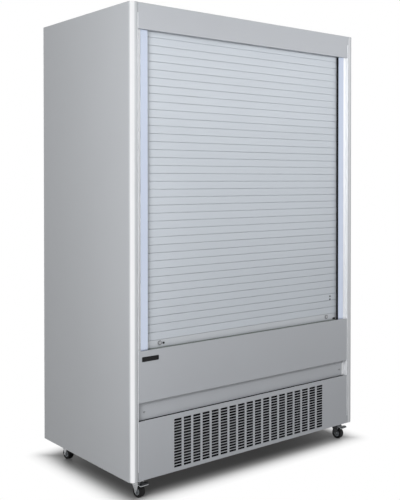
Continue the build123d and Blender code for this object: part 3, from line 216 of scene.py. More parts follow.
def mixed_shader(tree: Tree, share: Socket, first: Socket, second: Socket) -> Socket:
    """Return a mix of two shaders: a share of 0 gives the first, 1 the second."""
    return add(tree, "ShaderNodeMixShader", {}, {0: share, 1: first, 2: second}).outputs[0]


# ------------------------------------------------------------------ finishes
# where nearly all of a noise texture's values lie
NOISE_RANGE = (0.3, 0.7)
COAT_ROUGHNESS = 0.12


class Grain(Enum):
    """Direction in which a metal's surface was drawn or brushed."""

    ALONG_X = (0.02, 1.0, 1.0)
    ALONG_Z = (1.0, 1.0, 0.02)
    NONE = (1.0, 1.0, 1.0)


@dataclass(frozen=True)
class Finish:
    """Plain satin surface, the base of every finish.

    The colour drifts a little over `drift_mm`, and a fine texture of `grain_mm`
    breaks the gloss up and lifts the surface by `relief_mm`.
    """

    name: str
    colour: str
    roughness: float = 0.5
    metallic: float = 0.0
    drift: float = 0.05
    drift_mm: float = 300.0
    grain_mm: float = 3.0
    relief_mm: float = 0.02
    gloss_spread: float = 0.06
    grain: Grain = Grain.NONE
    coat: float = 0.0
    specular: float = 0.5

    def build(self) -> bpy.types.Material:
        """Return this finish's material, made on the first call."""
        found = bpy.data.materials.get(self.name)
        if found:
            return found
        material = bpy.data.materials.new(self.name)
        tree = emptied(material)
        shader = add(
            tree,
            "ShaderNodeBsdfPrincipled",
            {
                "Metallic": self.metallic,
                "Specular IOR Level": self.specular,
                "Coat Weight": self.coat,
                "Coat Roughness": COAT_ROUGHNESS,
            },
        )
        place = add(tree, "ShaderNodeTexCoord").outputs["Object"]
        self.paint(tree, shader, place)
        add(tree, "ShaderNodeOutputMaterial", {}, {"Surface": shader.outputs[0]})
        material.diffuse_color = linear(self.colour)
        return material

    def paint(self, tree: Tree, shader: bpy.types.Node, place: Socket) -> None:
        """Lay colour, gloss and relief on the shader.

        Args:
            tree: The material's nodes.
            shader: The Principled node.
            place: Object coordinates in metres.
        """
        clouds = self.noise(tree, place, self.drift_mm, 3.0)
        shade = ramp(tree, clouds, (1 - self.drift, 1.0), NOISE_RANGE)
        colour = darkened(tree, self.base(tree, shader, place), shade)
        tree.links.new(colour, shader.inputs["Base Color"])
        stretched = add(tree, "ShaderNodeMapping", {"Scale": self.grain.value}, {"Vector": place})
        fine = self.noise(tree, stretched.outputs[0], self.grain_mm, 2.0)
        spread = (self.roughness - self.gloss_spread, self.roughness + self.gloss_spread)
        tree.links.new(ramp(tree, fine, spread, NOISE_RANGE), shader.inputs["Roughness"])
        height = {"Strength": 1.0, "Distance": self.relief_mm * MM}
        relief = add(tree, "ShaderNodeBump", height, {"Height": fine})
        tree.links.new(relief.outputs[0], shader.inputs["Normal"])

    def base(self, tree: Tree, shader: bpy.types.Node, place: Socket) -> Colour | Socket:
        """Return the colour before its drift.

        Args:
            tree: The material's nodes.
            shader: The Principled node.
            place: Object coordinates in metres.

        Returns:
            A constant colour, or the socket of one that varies.
        """
        return linear(self.colour)

    @staticmethod
    def noise(tree: Tree, place: Socket, size_mm: float, detail: float) -> Socket:
        """Return noise whose clouds are about `size_mm` wide."""
        settings = {"Scale": 1000 / size_mm, "Detail": detail}
        return add(tree, "ShaderNodeTexNoise", settings, {"Vector": place}).outputs[0]


@dataclass(frozen=True)
class SlatLacquer(Finish):
    """Lacquered aluminium slats: each slat keeps its own slight tone."""

    tone_spread: float = 0.02

    def base(self, tree: Tree, shader: bpy.types.Node, place: Socket) -> Socket:
        """Return the lacquer with the tone of each slat from its `tone` attribute."""
        tone = add(tree, "ShaderNodeAttribute", {"attribute_name": "tone"}).outputs["Fac"]
        return darkened(tree, linear(self.colour), ramp(tree, tone, (1 - self.tone_spread, 1.0)))


@dataclass(frozen=True)
class HighlightedPaint(Finish):
    """Silver paint with a painted highlight of bright metal where a vertex attribute is 1."""

    # colour and metal of the painted highlight
    highlight_colour: str = "f3f4f6"
    highlight_metallic: float = 0.95

    def base(self, tree: Tree, shader: bpy.types.Node, place: Socket) -> Socket:
        """Return paint blended into the painted highlight's bright metal, and link the metallic
        value likewise.
        """
        painted_highlight = add(tree, "ShaderNodeAttribute", {"attribute_name": "painted_highlight"}).outputs["Fac"]
        metal = ramp(tree, painted_highlight, (self.metallic, self.highlight_metallic))
        tree.links.new(metal, shader.inputs["Metallic"])
        return blended(tree, self.colour, self.highlight_colour, painted_highlight)


@dataclass(frozen=True)
class Galvanised(Finish):
    """Hot-dip galvanised sheet: zinc crystals of `spangle_mm` in slightly different greys."""

    spangle_mm: float = 14.0
    spangle_spread: float = 0.16

    def base(self, tree: Tree, shader: bpy.types.Node, place: Socket) -> Socket:
        """Return zinc whose every crystal has its own grey."""
        scale = {"Scale": 1000 / self.spangle_mm}
        cells = add(tree, "ShaderNodeTexVoronoi", scale, {"Vector": place})
        crystal = add(tree, "ShaderNodeSeparateColor", {}, {0: cells.outputs["Color"]})
        shade = ramp(tree, crystal.outputs[0], (1 - self.spangle_spread, 1.0))
        return darkened(tree, linear(self.colour), shade)


@dataclass(frozen=True)
class Finned(Finish):
    """Coil block: upright aluminium fins and the gaps between them, each `fin_mm` wide; the gaps'
    dark colour is painted shade.
    """

    fin_mm: float = 4.0
    # colour of the painted shade in the gaps between the fins
    gap: str = "3c3f42"

    def base(self, tree: Tree, shader: bpy.types.Node, place: Socket) -> Socket:
        """Return the fins as fine upright lines in colour, with painted shade between them."""
        # a wave texture of scale 1 repeats every pi / 10 of a metre
        bands = {
            "wave_type": "BANDS",
            "bands_direction": "X",
            "Scale": 50 * math.pi / self.fin_mm,
        }
        lines = add(tree, "ShaderNodeTexWave", bands, {"Vector": place})
        return blended(tree, self.gap, self.colour, lines.outputs["Fac"])


@dataclass(frozen=True)
class Moulded(Finish):
    """Moulded plastic with a fine eroded grain."""

    drift: float = 0.15
    grain_mm: float = 1.6
    relief_mm: float = 0.03


@dataclass(frozen=True)
class Clear(Finish):
    """Clear or milky plastic that passes light."""

    passes: float = 0.9

    def base(self, tree: Tree, shader: bpy.types.Node, place: Socket) -> Colour | Socket:
        """Let light through and return the plain colour."""
        shader.inputs["Transmission Weight"].default_value = self.passes
        return super().base(tree, shader, place)


# silver powder coat on sheet steel: satin, its flakes lift the highlights, with a faint
# orange peel that is drawn 4 mm wide to show
# the side panels carry a painted highlight of bright metal where the light catches them
body_paint_and_highlight = HighlightedPaint(
    "silver_powder_coat_body_painted_highlight", "b3b6ba", 0.30, metallic=0.15, drift=0.02, grain_mm=4.0,
    relief_mm=0.002, gloss_spread=0.02,
)
front_paint = Finish(
    "silver_powder_coat_front", "b5b8bd", 0.36, metallic=0.15, drift=0.02, grain_mm=4.0,
    relief_mm=0.003, gloss_spread=0.03,
)
# white powder coat on sheet steel
inside_paint = Finish(
    "white_powder_coat", "f6f8fb", 0.42, drift=0.02, grain_mm=4.0, relief_mm=0.008
)
# painted shade: the compartment's sheet steel drawn near black, so that it reads dark through the
# kick panel's slots
base_pan_painted_shade = Finish(
    "black_painted_shade", "0c0c0d", 0.7, drift=0.2, grain_mm=4.0, relief_mm=0.01, specular=0.15
)
# silver lacquer on roll-formed aluminium: satin sheen with lines along the slat
slat_lacquer = SlatLacquer(
    "silver_lacquer_slats", "c8ced5", 0.42, metallic=0.15, drift=0.02,
    grain_mm=5.0, relief_mm=0.004, grain=Grain.ALONG_X,
)
# extruded and anodised aluminium: fine die lines along the length
anodised_upright = Finish(
    "anodised_aluminium_guides", "cbd4e6", 0.34, metallic=0.8, drift=0.02,
    grain_mm=4.0, relief_mm=0.008, grain=Grain.ALONG_Z,
)
anodised_bar = Finish(
    "anodised_aluminium_bar", "c2c6cb", 0.36, metallic=0.3, drift=0.02,
    grain_mm=4.0, relief_mm=0.008, grain=Grain.ALONG_X,
)
galvanised = Galvanised("galvanised_sheet", "b3b7bb", 0.44, metallic=0.75)
zinc_plate = Finish(
    "bright_zinc_plate", "b2b4b6", 0.30, metallic=1.0, drift=0.10, drift_mm=12.0, relief_mm=0.01
)
# nickel plating, darkened as painted shade of the ring: soft dark mirror
ring_painted_shade = Finish(
    "dark_nickel_plate_painted_shade", "8c8e91", 0.28, metallic=1.0, relief_mm=0.002, gloss_spread=0.03
)
fins = Finned("aluminium_fins", "a9aeb3", 0.45, metallic=0.6)
# black-lacquered coil, drawn black also as painted shade of the compartment behind the kick
# panel's slots
black_fins_painted_shade = Finned("black_lacquered_fins_painted_shade", "141415", 0.7, gap="060607", specular=0.15)
# painted shade: the copper tubes drawn dull black with a fine pitted skin
pipe_painted_shade = Finish(
    "black_pipe_painted_shade", "121213", 0.85, drift=0.3, drift_mm=20.0, grain_mm=2.0, relief_mm=0.1,
    specular=0.15,
)
enamel = Finish("black_enamel", "161617", 0.35, drift=0.2, drift_mm=60.0)
black_moulding = Moulded("moulded_black_abs", "1a1a1c", 0.48)
matt_moulding = Moulded("matt_black_abs", "0e0e0f", 0.7, specular=0.15)
grey_moulding = Moulded("moulded_grey_abs", "85898d", 0.5, drift=0.08)
satin_black = Finish(
    "satin_black_plate", "101012", 0.3, drift=0.1, relief_mm=0.002, gloss_spread=0.03,
    specular=0.2,
)
white_moulding = Finish("moulded_white_pvc", "eef0f2", 0.35, drift=0.02, relief_mm=0.008)
green_rocker = Finish("moulded_green_rocker", "1d8a35", 0.2, relief_mm=0.004, coat=0.3)
grey_rubber = Finish(
    "grey_epdm_rubber", "7f8583", 0.6, drift=0.1, drift_mm=60.0, grain_mm=1.5, relief_mm=0.03
)
tyre_rubber = Finish(
    "moulded_tyre_rubber", "0e0e0f", 0.6, drift=0.3, drift_mm=12.0, grain_mm=1.2, relief_mm=0.05,
    specular=0.25,
)
pile = Finish(
    "polypropylene_pile", "19191b", 0.85, drift=0.5, drift_mm=3.0, grain_mm=1.0, relief_mm=0.3
)
lamp_cover = Clear("opal_polycarbonate", "f4f6f7", 0.35, drift=0.01, passes=0.35)
card = Finish("plain_ticket_card", "f3f2ec", 0.7, drift=0.03, grain_mm=2.0, relief_mm=0.01)

FINISH_NODES: tuple[tuple[Finish, tuple[str, ...]], ...] = (
    (body_paint_and_highlight, ("side_panel_left", "side_panel_right", "roof_panel")),
    (front_paint, ("fascia_panel", "riser_panel", "trim_strip", "kick_panel")),
    (inside_paint, ("side_liners", "tub", "air_duct", "deck_pan", "roller_box")),
    (inside_paint, ("shelves", "shelf_brackets", "shelf_uprights", "return_grille")),
    (base_pan_painted_shade, ("base_pan",)),
    (galvanised, ("back_wall", "rear_cover", "shutter_barrel", "fan_plate")),
    (zinc_plate, ("trim_screws", "barrel_brackets", "lock_cam_left", "lock_cam_right")),
    (zinc_plate, ("castor_plates", "brake_pedal_left", "brake_pedal_right")),
    (zinc_plate, tuple(f"castor_fork_{corner}" for corner in CORNERS)),
    (tyre_rubber, tuple(f"castor_wheel_{corner}" for corner in CORNERS)),
    (ring_painted_shade, ("lock_rings",)),
    (slat_lacquer, ("shutter_curtain",)),
    (anodised_upright, ("shutter_guides",)),
    (anodised_bar, ("bottom_bar",)),
    (grey_rubber, ("shutter_sill", "bottom_seal")),
    (pile, ("guide_brushes",)),
    (satin_black, ("badge_plate",)),
    (black_moulding, ("cable_gland", "bar_stops", "condenser_fan")),
    (black_moulding, ("evaporator_fan_left", "evaporator_fan_right")),
    (matt_moulding, ("drain_tray", "electrical_box")),
    (white_moulding, ("discharge_grille", "price_rails")),
    (green_rocker, ("light_switch",)),
    (lamp_cover, ("led_light",)),
    (enamel, ("compressor", "condenser_shroud")),
    (black_fins_painted_shade, ("condenser_coil",)),
    (fins, ("evaporator_coil",)),
    (pipe_painted_shade, ("pipework",)),
)


# ------------------------------------------------------------------ mesh helpers
def joint(name: str) -> dict:
    """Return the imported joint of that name."""
    return next(j for j in frame["joints"] if j["name"] == name)


def block(bm: Mesh, low: Sequence[float], high: Sequence[float]) -> list[Vert]:
    """Add a box between two corners.

    Args:
        bm: The mesh that takes the box.
        low: Its lowest corner.
        high: Its highest corner.

    Returns:
        The new vertices.
    """
    made = bmesh.ops.create_cube(bm, size=1.0)["verts"]
    size = Vector(high) - Vector(low)
    middle = (Vector(high) + Vector(low)) / 2
    bmesh.ops.scale(bm, vec=size, verts=made)
    bmesh.ops.translate(bm, vec=middle, verts=made)
    return made


def pushed(bm: Mesh, face: bmesh.types.BMFace, way: Vector, keep: bool = False) -> list[Vert]:
    """Extrude a face along `way`, its first place closed if `keep`, and return what moved."""
    grown = bmesh.ops.extrude_face_region(bm, geom=[face], use_keep_orig=keep)["geom"]
    moved = [v for v in grown if isinstance(v, Vert)]
    bmesh.ops.translate(bm, vec=way, verts=moved)
    return moved


def prism(bm: Mesh, points: Iterable[Sequence[float]], reach: Sequence[float]) -> list[Vert]:
    """Extrude a flat outline into a solid.

    Args:
        bm: The mesh that takes the solid.
        points: The outline's corners in order.
        reach: The way and length of the extrusion.

    Returns:
        All vertices of the solid.
    """
    start = [bm.verts.new(p) for p in points]
    return start + pushed(bm, bm.faces.new(start), Vector(reach), keep=True)


def turned(
    bm: Mesh,
    points: Iterable[tuple[float, float]],
    centre: Vector,
    axis: Vector,
    steps: int = 48,
) -> list[Vert]:
    """Turn a section about an axis, as on a lathe.

    Args:
        bm: The mesh that takes the turned shape.
        points: Distances along the axis and from it, in order; a closed section
            repeats its first point.
        centre: The point of the axis that along-distances count from.
        axis: The axis direction, a unit vector.
        steps: Steps of the full turn.

    Returns:
        The new vertices.
    """
    side = axis.orthogonal().normalized()
    verts = [bm.verts.new(centre + axis * along + side * out) for along, out in points]
    edges = [bm.edges.new(pair) for pair in zip(verts, verts[1:])]
    before = set(bm.verts)
    bmesh.ops.spin(
        bm, geom=verts + edges, cent=centre, axis=axis, dvec=(0, 0, 0),
        angle=2 * math.pi, steps=steps, use_merge=True, use_duplicate=False,
    )
    made = verts + [v for v in bm.verts if v not in before]
    bmesh.ops.remove_doubles(bm, verts=made, dist=NEAR)
    return [v for v in made if v.is_valid]


def ring(bm: Mesh, points: Iterable[Vector]) -> tuple[list[Vert], list[Edge]]:
    """Join points to a closed ring of edges.

    Args:
        bm: The mesh that takes the ring.
        points: Its corners in order.

    Returns:
        The new vertices and edges.
    """
    verts = [bm.verts.new(p) for p in points]
    return verts, [bm.edges.new(pair) for pair in zip(verts, verts[1:] + verts[:1])]


def soften(bm: Mesh, edges: Iterable[Edge], width: float, segments: int = 3) -> None:
    """Round some edges.

    Args:
        bm: The mesh.
        edges: The edges to round; those that an earlier rounding used up are left out.
        width: How far the rounding reaches from the edge.
        segments: Its number of facets.
    """
    bmesh.ops.bevel(
        bm, geom=[e for e in edges if e.is_valid], offset=width, segments=segments,
        offset_type="OFFSET", profile=0.5, affect="EDGES", material=-1, clamp_overlap=True,
    )


def sharp_edges(bm: Mesh, degrees: float = 40.0) -> list[Edge]:
    """Return the edges where two faces meet at more than an angle."""
    limit = math.radians(degrees)
    return [e for e in bm.edges if len(e.link_faces) == 2 and e.calc_face_angle(0.0) > limit]


def run_along(edges: Iterable[Edge], axis: int) -> list[Edge]:
    """Keep the edges that run along X, Y or Z, given as 0, 1 or 2."""
    kept = []
    for edge in edges:
        way = edge.verts[1].co - edge.verts[0].co
        if way.length > HAIR and abs(way[axis]) > STRAIGHT * way.length:
            kept.append(edge)
    return kept


def as_object(bm: Mesh, name: str) -> bpy.types.Object:
    """Put a mesh into the scene as an object of that name; the mesh is used up."""
    mesh = bpy.data.meshes.new(name)
    bm.to_mesh(mesh)
    bm.free()
    made = bpy.data.objects.new(name, mesh)
    bpy.context.scene.collection.objects.link(made)
    return made


def place_piece(
    bm: Mesh,
    name: str,
    finish: Finish,
    replaces: Sequence[str] = (),
    body: str = "cabinet",
    smooth: float = 40.0,
) -> bpy.types.Object:
    """Turn a mesh into a finished piece that rides on a body.

    Args:
        bm: The mesh; it is used up.
        name: The piece's name.
        finish: Its finish.
        replaces: CAD nodes that it stands for.
        body: The CAD body that it rides on.
        smooth: Edges flatter than this many degrees are shaded smooth.

    Returns:
        The new object.
    """
    bmesh.ops.recalc_face_normals(bm, faces=bm.faces)
    piece = as_object(bm, name)
    mesh = piece.data
    mesh.shade_smooth()
    mesh.set_sharp_from_angle(angle=math.radians(smooth))
    mesh.materials.append(finish.build())
    weighted = piece.modifiers.new("even_shading", "WEIGHTED_NORMAL")
    weighted.keep_sharp = True
    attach(piece, body)
    if replaces:
        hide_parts(*replaces)
    log.info("%s: %d faces on %s", name, len(mesh.polygons), body)
    return piece


# ------------------------------------------------------------------ sub-assemblies
@dataclass
class SidePanels:
    """The two foamed side panels with their large rounded front edges.

    The camera sees the left panel's outer corner and the right panel's front, where a
    painted highlight lies: bright metal laid where the light catches each panel. A vertex
    attribute marks it: at the left between two angles of the rounding, at the right, weaker, on
    the flat front.
    """

    outer_radius: float = 20 * MM
    inner_radius: float = 8 * MM
    top_radius: float = 1.5 * MM
    rear_radius: float = 1.5 * MM
    # where the painted highlight lies on the left corner's rounding, and its strength on the right
    # front
    highlight_from: float = 32.0
    highlight_to: float = 86.0
    highlight_fade: float = 18.0
    flat_depth: float = 0.1 * MM
    flat_from: float = 18 * MM
    flat_highlight: float = 0.35

    def build(self) -> None:
        """Build both panels."""
        for side, sign in (("left", -1), ("right", 1)):
            self.panel(side, sign)

    def panel(self, side: str, sign: int) -> None:
        """Build one panel.

        Args:
            side: "left" or "right".
            sign: -1 for the left panel and 1 for the right one.
        """
        node = f"side_panel_{side}"
        low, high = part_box(node)
        outer = low.x if sign < 0 else high.x
        bm = bmesh.new()
        block(bm, low, high)
        upright = run_along(bm.edges, 2)
        front = [e for e in upright if abs(e.verts[0].co.y - low.y) < MM]
        rear = [e for e in upright if e not in front]
        front_outer = [e for e in front if abs(e.verts[0].co.x - outer) < MM]
        front_inner = [e for e in front if e not in front_outer]
        soften(bm, front_outer, self.outer_radius, segments=14)
        soften(bm, front_inner, self.inner_radius, segments=8)
        soften(bm, rear, self.rear_radius, segments=2)
        top = [e for e in sharp_edges(bm, 60) if min(v.co.z for v in e.verts) > high.z - MM]
        soften(bm, top, self.top_radius, segments=4)
        bottom = [e for e in sharp_edges(bm, 60) if max(v.co.z for v in e.verts) < low.z + MM]
        soften(bm, bottom, self.rear_radius, segments=2)
        # painted highlight: bright metal where the light catches the left corner and the right
        # front
        painted_highlight = bm.verts.layers.float.new("painted_highlight")
        strength = self.front_highlight if sign > 0 else self.corner_highlight
        for vert in bm.verts:
            vert[painted_highlight] = strength(abs(vert.co.x - outer), vert.co.y - low.y)
        place_piece(bm, f"{node}_skin", body_paint_and_highlight, [node])

    def corner_highlight(self, inwards: float, depth: float) -> float:
        """Return the painted highlight's strength round the left panel's outer corner.

        Args:
            inwards: The point's distance from the panel's outer face.
            depth: Its distance from the panel's front.

        Returns:
            1 within the painted highlight, 0 off it, and a share of it where it fades.
        """
        if max(inwards, depth) >= self.outer_radius:
            return 0.0
        turn = math.degrees(math.atan2(self.outer_radius - depth, self.outer_radius - inwards))
        inset = min(turn - self.highlight_from, self.highlight_to - turn) / self.highlight_fade + 0.5
        return min(max(inset, 0.0), 1.0)

    def front_highlight(self, inwards: float, depth: float) -> float:
        """Return the painted highlight's strength on the right panel, whose flat front carries it.

        Args:
            inwards: The point's distance from the panel's outer face.
            depth: Its distance from the panel's front.

        Returns:
            The strength, or 0 off the flat.
        """
        on_flat = abs(depth) < self.flat_depth and inwards > self.flat_from
        return self.flat_highlight if on_flat else 0.0


@dataclass
class FrontSheets:
    """The fascia and the riser panel, whose ends close up to the side panels."""

    reach: float = 3.6 * MM
    end_band: float = 2.0 * MM

    def build(self) -> None:
        """Rebuild both sheets from their solids, a little longer at each end."""
        for node in ("fascia_panel", "riser_panel"):
            low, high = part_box(node)
            solid = frame["nodes"][node]
            bm = bmesh.new()
            bm.from_mesh(solid.data)
            bm.transform(solid.matrix_world)
            for vert in bm.verts:
                if high.x - vert.co.x < self.end_band:
                    vert.co.x += self.reach
                elif vert.co.x - low.x < self.end_band:
                    vert.co.x -= self.reach
            place_piece(bm, f"{node}_sheet", front_paint, [node])


@dataclass
class KickPanel:
    """The folded kick panel with its punched air slots."""

    sheet: float = 1.5 * MM
    hem: float = 12.0 * MM
    end_reach: float = 3.4 * MM
    top_drop: float = 0.8 * MM
    hem_drop: float = 2.5 * MM
    columns: int = 18
    rows: int = 17
    column_pitch: float = 47.4 * MM
    row_pitch: float = 11.46 * MM
    slot_width: float = 37.0 * MM
    slot_height: float = 8.8 * MM
    middle: tuple[float, float] = (0.0, 186.3 * MM)

    def build(self) -> None:
        """Punch the slots in the front sheet, then add its wall, foot and hem."""
        node = "kick_panel"
        low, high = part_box(node)
        bm = bmesh.new()
        left, right = low.x - self.end_reach, high.x + self.end_reach
        top = high.z - self.top_drop
        outline = [(left, low.z), (right, low.z), (right, top), (left, top)]
        bm.faces.new([bm.verts.new((x, low.y, z)) for x, z in outline])
        across = self.edges(self.columns, self.column_pitch, self.slot_width, self.middle[0])
        upward = self.edges(self.rows, self.row_pitch, self.slot_height, self.middle[1])
        for way, lines in ((Vector((1, 0, 0)), across), (Vector((0, 0, 1)), upward)):
            for line in (value for pair in lines for value in pair):
                geometry = bm.verts[:] + bm.edges[:] + bm.faces[:]
                bmesh.ops.bisect_plane(
                    bm, geom=geometry, dist=HAIR, plane_co=way * line, plane_no=way
                )
        open_faces = []
        for face in bm.faces:
            centre = face.calc_center_median()
            in_column = any(a < centre.x < b for a, b in across)
            if in_column and any(a < centre.z < b for a, b in upward):
                open_faces.append(face)
        bmesh.ops.delete(bm, geom=open_faces, context="FACES")
        bmesh.ops.recalc_face_normals(bm, faces=bm.faces)
        if next(iter(bm.faces)).normal.y > 0:
            bmesh.ops.reverse_faces(bm, faces=bm.faces)
        bmesh.ops.solidify(bm, geom=bm.faces[:], thickness=self.sheet)
        block(bm, (low.x, low.y + self.sheet, low.z), (high.x, high.y, low.z + self.sheet))
        block(
            bm,
            (low.x, low.y + self.sheet, high.z - self.hem),
            (high.x, low.y + 2 * self.sheet, high.z - self.hem_drop),
        )
        place_piece(bm, "kick_panel_sheet", front_paint, [node])

    @staticmethod
    def edges(count: int, pitch: float, size: float, middle: float) -> list[tuple[float, float]]:
        """Return the two edges of each slot along one direction.

        Args:
            count: How many slots stand in a row.
            pitch: The distance between their centres.
            size: A slot's size in that direction.
            middle: The middle of the row.

        Returns:
            Lower and upper edge of each slot.
        """
        first = middle - (count - 1) * pitch / 2
        return [(first + k * pitch - size / 2, first + k * pitch + size / 2) for k in range(count)]


@dataclass
class Curtain:
    """The shutter's interlocking slats, which pack up under the barrel as it rises."""

    pitch: float = 30.84 * MM
    body_height: float = 23.5 * MM
    skin: float = 1.2 * MM
    neck: float = 3.4 * MM
    hook_reach: float = 6.0 * MM
    hook_play: float = 1.3 * MM
    groove: float = 1.6 * MM
    edge_radius: float = 0.8 * MM
    thickness: float = 8.0 * MM
    chamfer: float = 1.0 * MM
    hook_skin: float = 1.0 * MM
    foot_drop: float = 1.0 * MM
    pin_radius: float = 4.2 * MM
    pin_root: float = 1.2 * MM
    pin_shoulder: float = 0.5 * MM
    pin_height: float = 1.1 * MM
    pin_rounding: float = 0.8 * MM
    pin_from_end: float = 68.5 * MM
    pin_heights: tuple[float, ...] = (66.5 * MM, 80.0 * MM)

    def build(self) -> None:
        """Build the curtain and its end pins, each with a mesh of its own."""
        low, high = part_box("shutter_curtain")
        for piece in (self.slats(low, high), self.pins(low, high)):
            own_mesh(piece)

    def slats(self, low: Vector, high: Vector) -> bpy.types.Object:
        """Build all slats as one piece.

        Args:
            low: The curtain's lowest corner.
            high: Its highest corner.

        Returns:
            The curtain.
        """
        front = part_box("bottom_bar")[0].y
        hook_height = self.pitch - self.body_height
        first_foot = low.z + hook_height - self.foot_drop
        count = int((high.z - first_foot) // self.pitch)
        bm = bmesh.new()
        tones = bm.faces.layers.float.new("tone")
        for k in range(count):
            known = set(bm.faces)
            self.slat(bm, low.x, high.x, front, first_foot + k * self.pitch)
            shade = (math.sin(SCATTER_STEP * (k + 1)) * SCATTER_GAIN) % 1.0
            for face in bm.faces:
                if face not in known:
                    face[tones] = shade
        node = "shutter_curtain"
        return place_piece(bm, "shutter_slats", slat_lacquer, [node], smooth=35.0)

    def slat(self, bm: Mesh, left: float, right: float, front: float, foot: float) -> None:
        """Add one slat: flat face with rolled lips, apron below and hook above.

        Args:
            bm: The curtain's mesh.
            left: The slat's left end.
            right: Its right end.
            front: Where its face lies.
            foot: The height of its body's underside.
        """
        back = front + self.thickness
        body_top = foot + self.body_height
        apron = foot - (self.pitch - self.body_height) + self.groove
        neck = front + self.neck
        hook_top = foot + self.pitch - self.hook_play
        outline = [
            (front, apron),
            (front + self.skin, apron),
            (front + self.skin, foot),
            (back - self.skin, foot),
            (back, foot + self.chamfer),
            (back, body_top),
            (neck + self.skin, body_top),
            (neck + self.skin, hook_top - self.hook_skin),
            (front + self.hook_reach, hook_top - self.hook_skin),
            (front + self.hook_reach, hook_top),
            (neck, hook_top),
            (neck, body_top),
            (front, body_top),
        ]
        made = set(prism(bm, [(left, y, z) for y, z in outline], (right - left, 0, 0)))
        lips = [
            e
            for e in run_along({e for v in made for e in v.link_edges}, 0)
            if all(abs(v.co.y - front) < NEAR for v in e.verts)
        ]
        soften(bm, lips, self.edge_radius, segments=3)

    def pins(self, low: Vector, high: Vector) -> bpy.types.Object:
        """Build the two dark pins that keep the lowest slats from sliding out sideways.

        Args:
            low: The curtain's lowest corner.
            high: Its highest corner.

        Returns:
            The pins as one piece.
        """
        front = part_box("bottom_bar")[0].y
        r = self.pin_radius
        section = [
            (-self.pin_root, 0),
            (-self.pin_root, r),
            (self.pin_shoulder, r),
            (self.pin_height, r - self.pin_rounding),
            (self.pin_height, 0),
        ]
        bm = bmesh.new()
        for height in self.pin_heights:
            centre = Vector((high.x - self.pin_from_end, front, low.z + height))
            turned(bm, section, centre, Vector((0, -1, 0)), steps=24)
        return place_piece(bm, "slat_end_pins", black_moulding)


@dataclass
class NameBlank:
    """The bare black plate on the riser panel, with a raised rim."""

    rim: float = 1.6 * MM
    rim_height: float = 0.5 * MM
    corner: float = 3.0 * MM
    edge: float = 0.25 * MM

    def build(self) -> None:
        """Build the plate with rounded corners and a sunk field."""
        node = "badge_plate"
        low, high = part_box(node)
        bm = bmesh.new()
        block(bm, low, high)
        soften(bm, run_along(bm.edges, 1), self.corner, segments=6)
        front = min(bm.faces, key=lambda f: f.calc_center_median().y)
        bmesh.ops.inset_region(bm, faces=[front], thickness=self.rim, depth=0.0)
        bmesh.ops.translate(bm, vec=(0, self.rim_height, 0), verts=front.verts)
        reach = low.y + self.edge / 2
        outer = [e for e in sharp_edges(bm, 60) if all(v.co.y < reach for v in e.verts)]
        soften(bm, outer, self.edge, segments=2)
        place_piece(bm, "name_plate_blank", satin_black, [node])


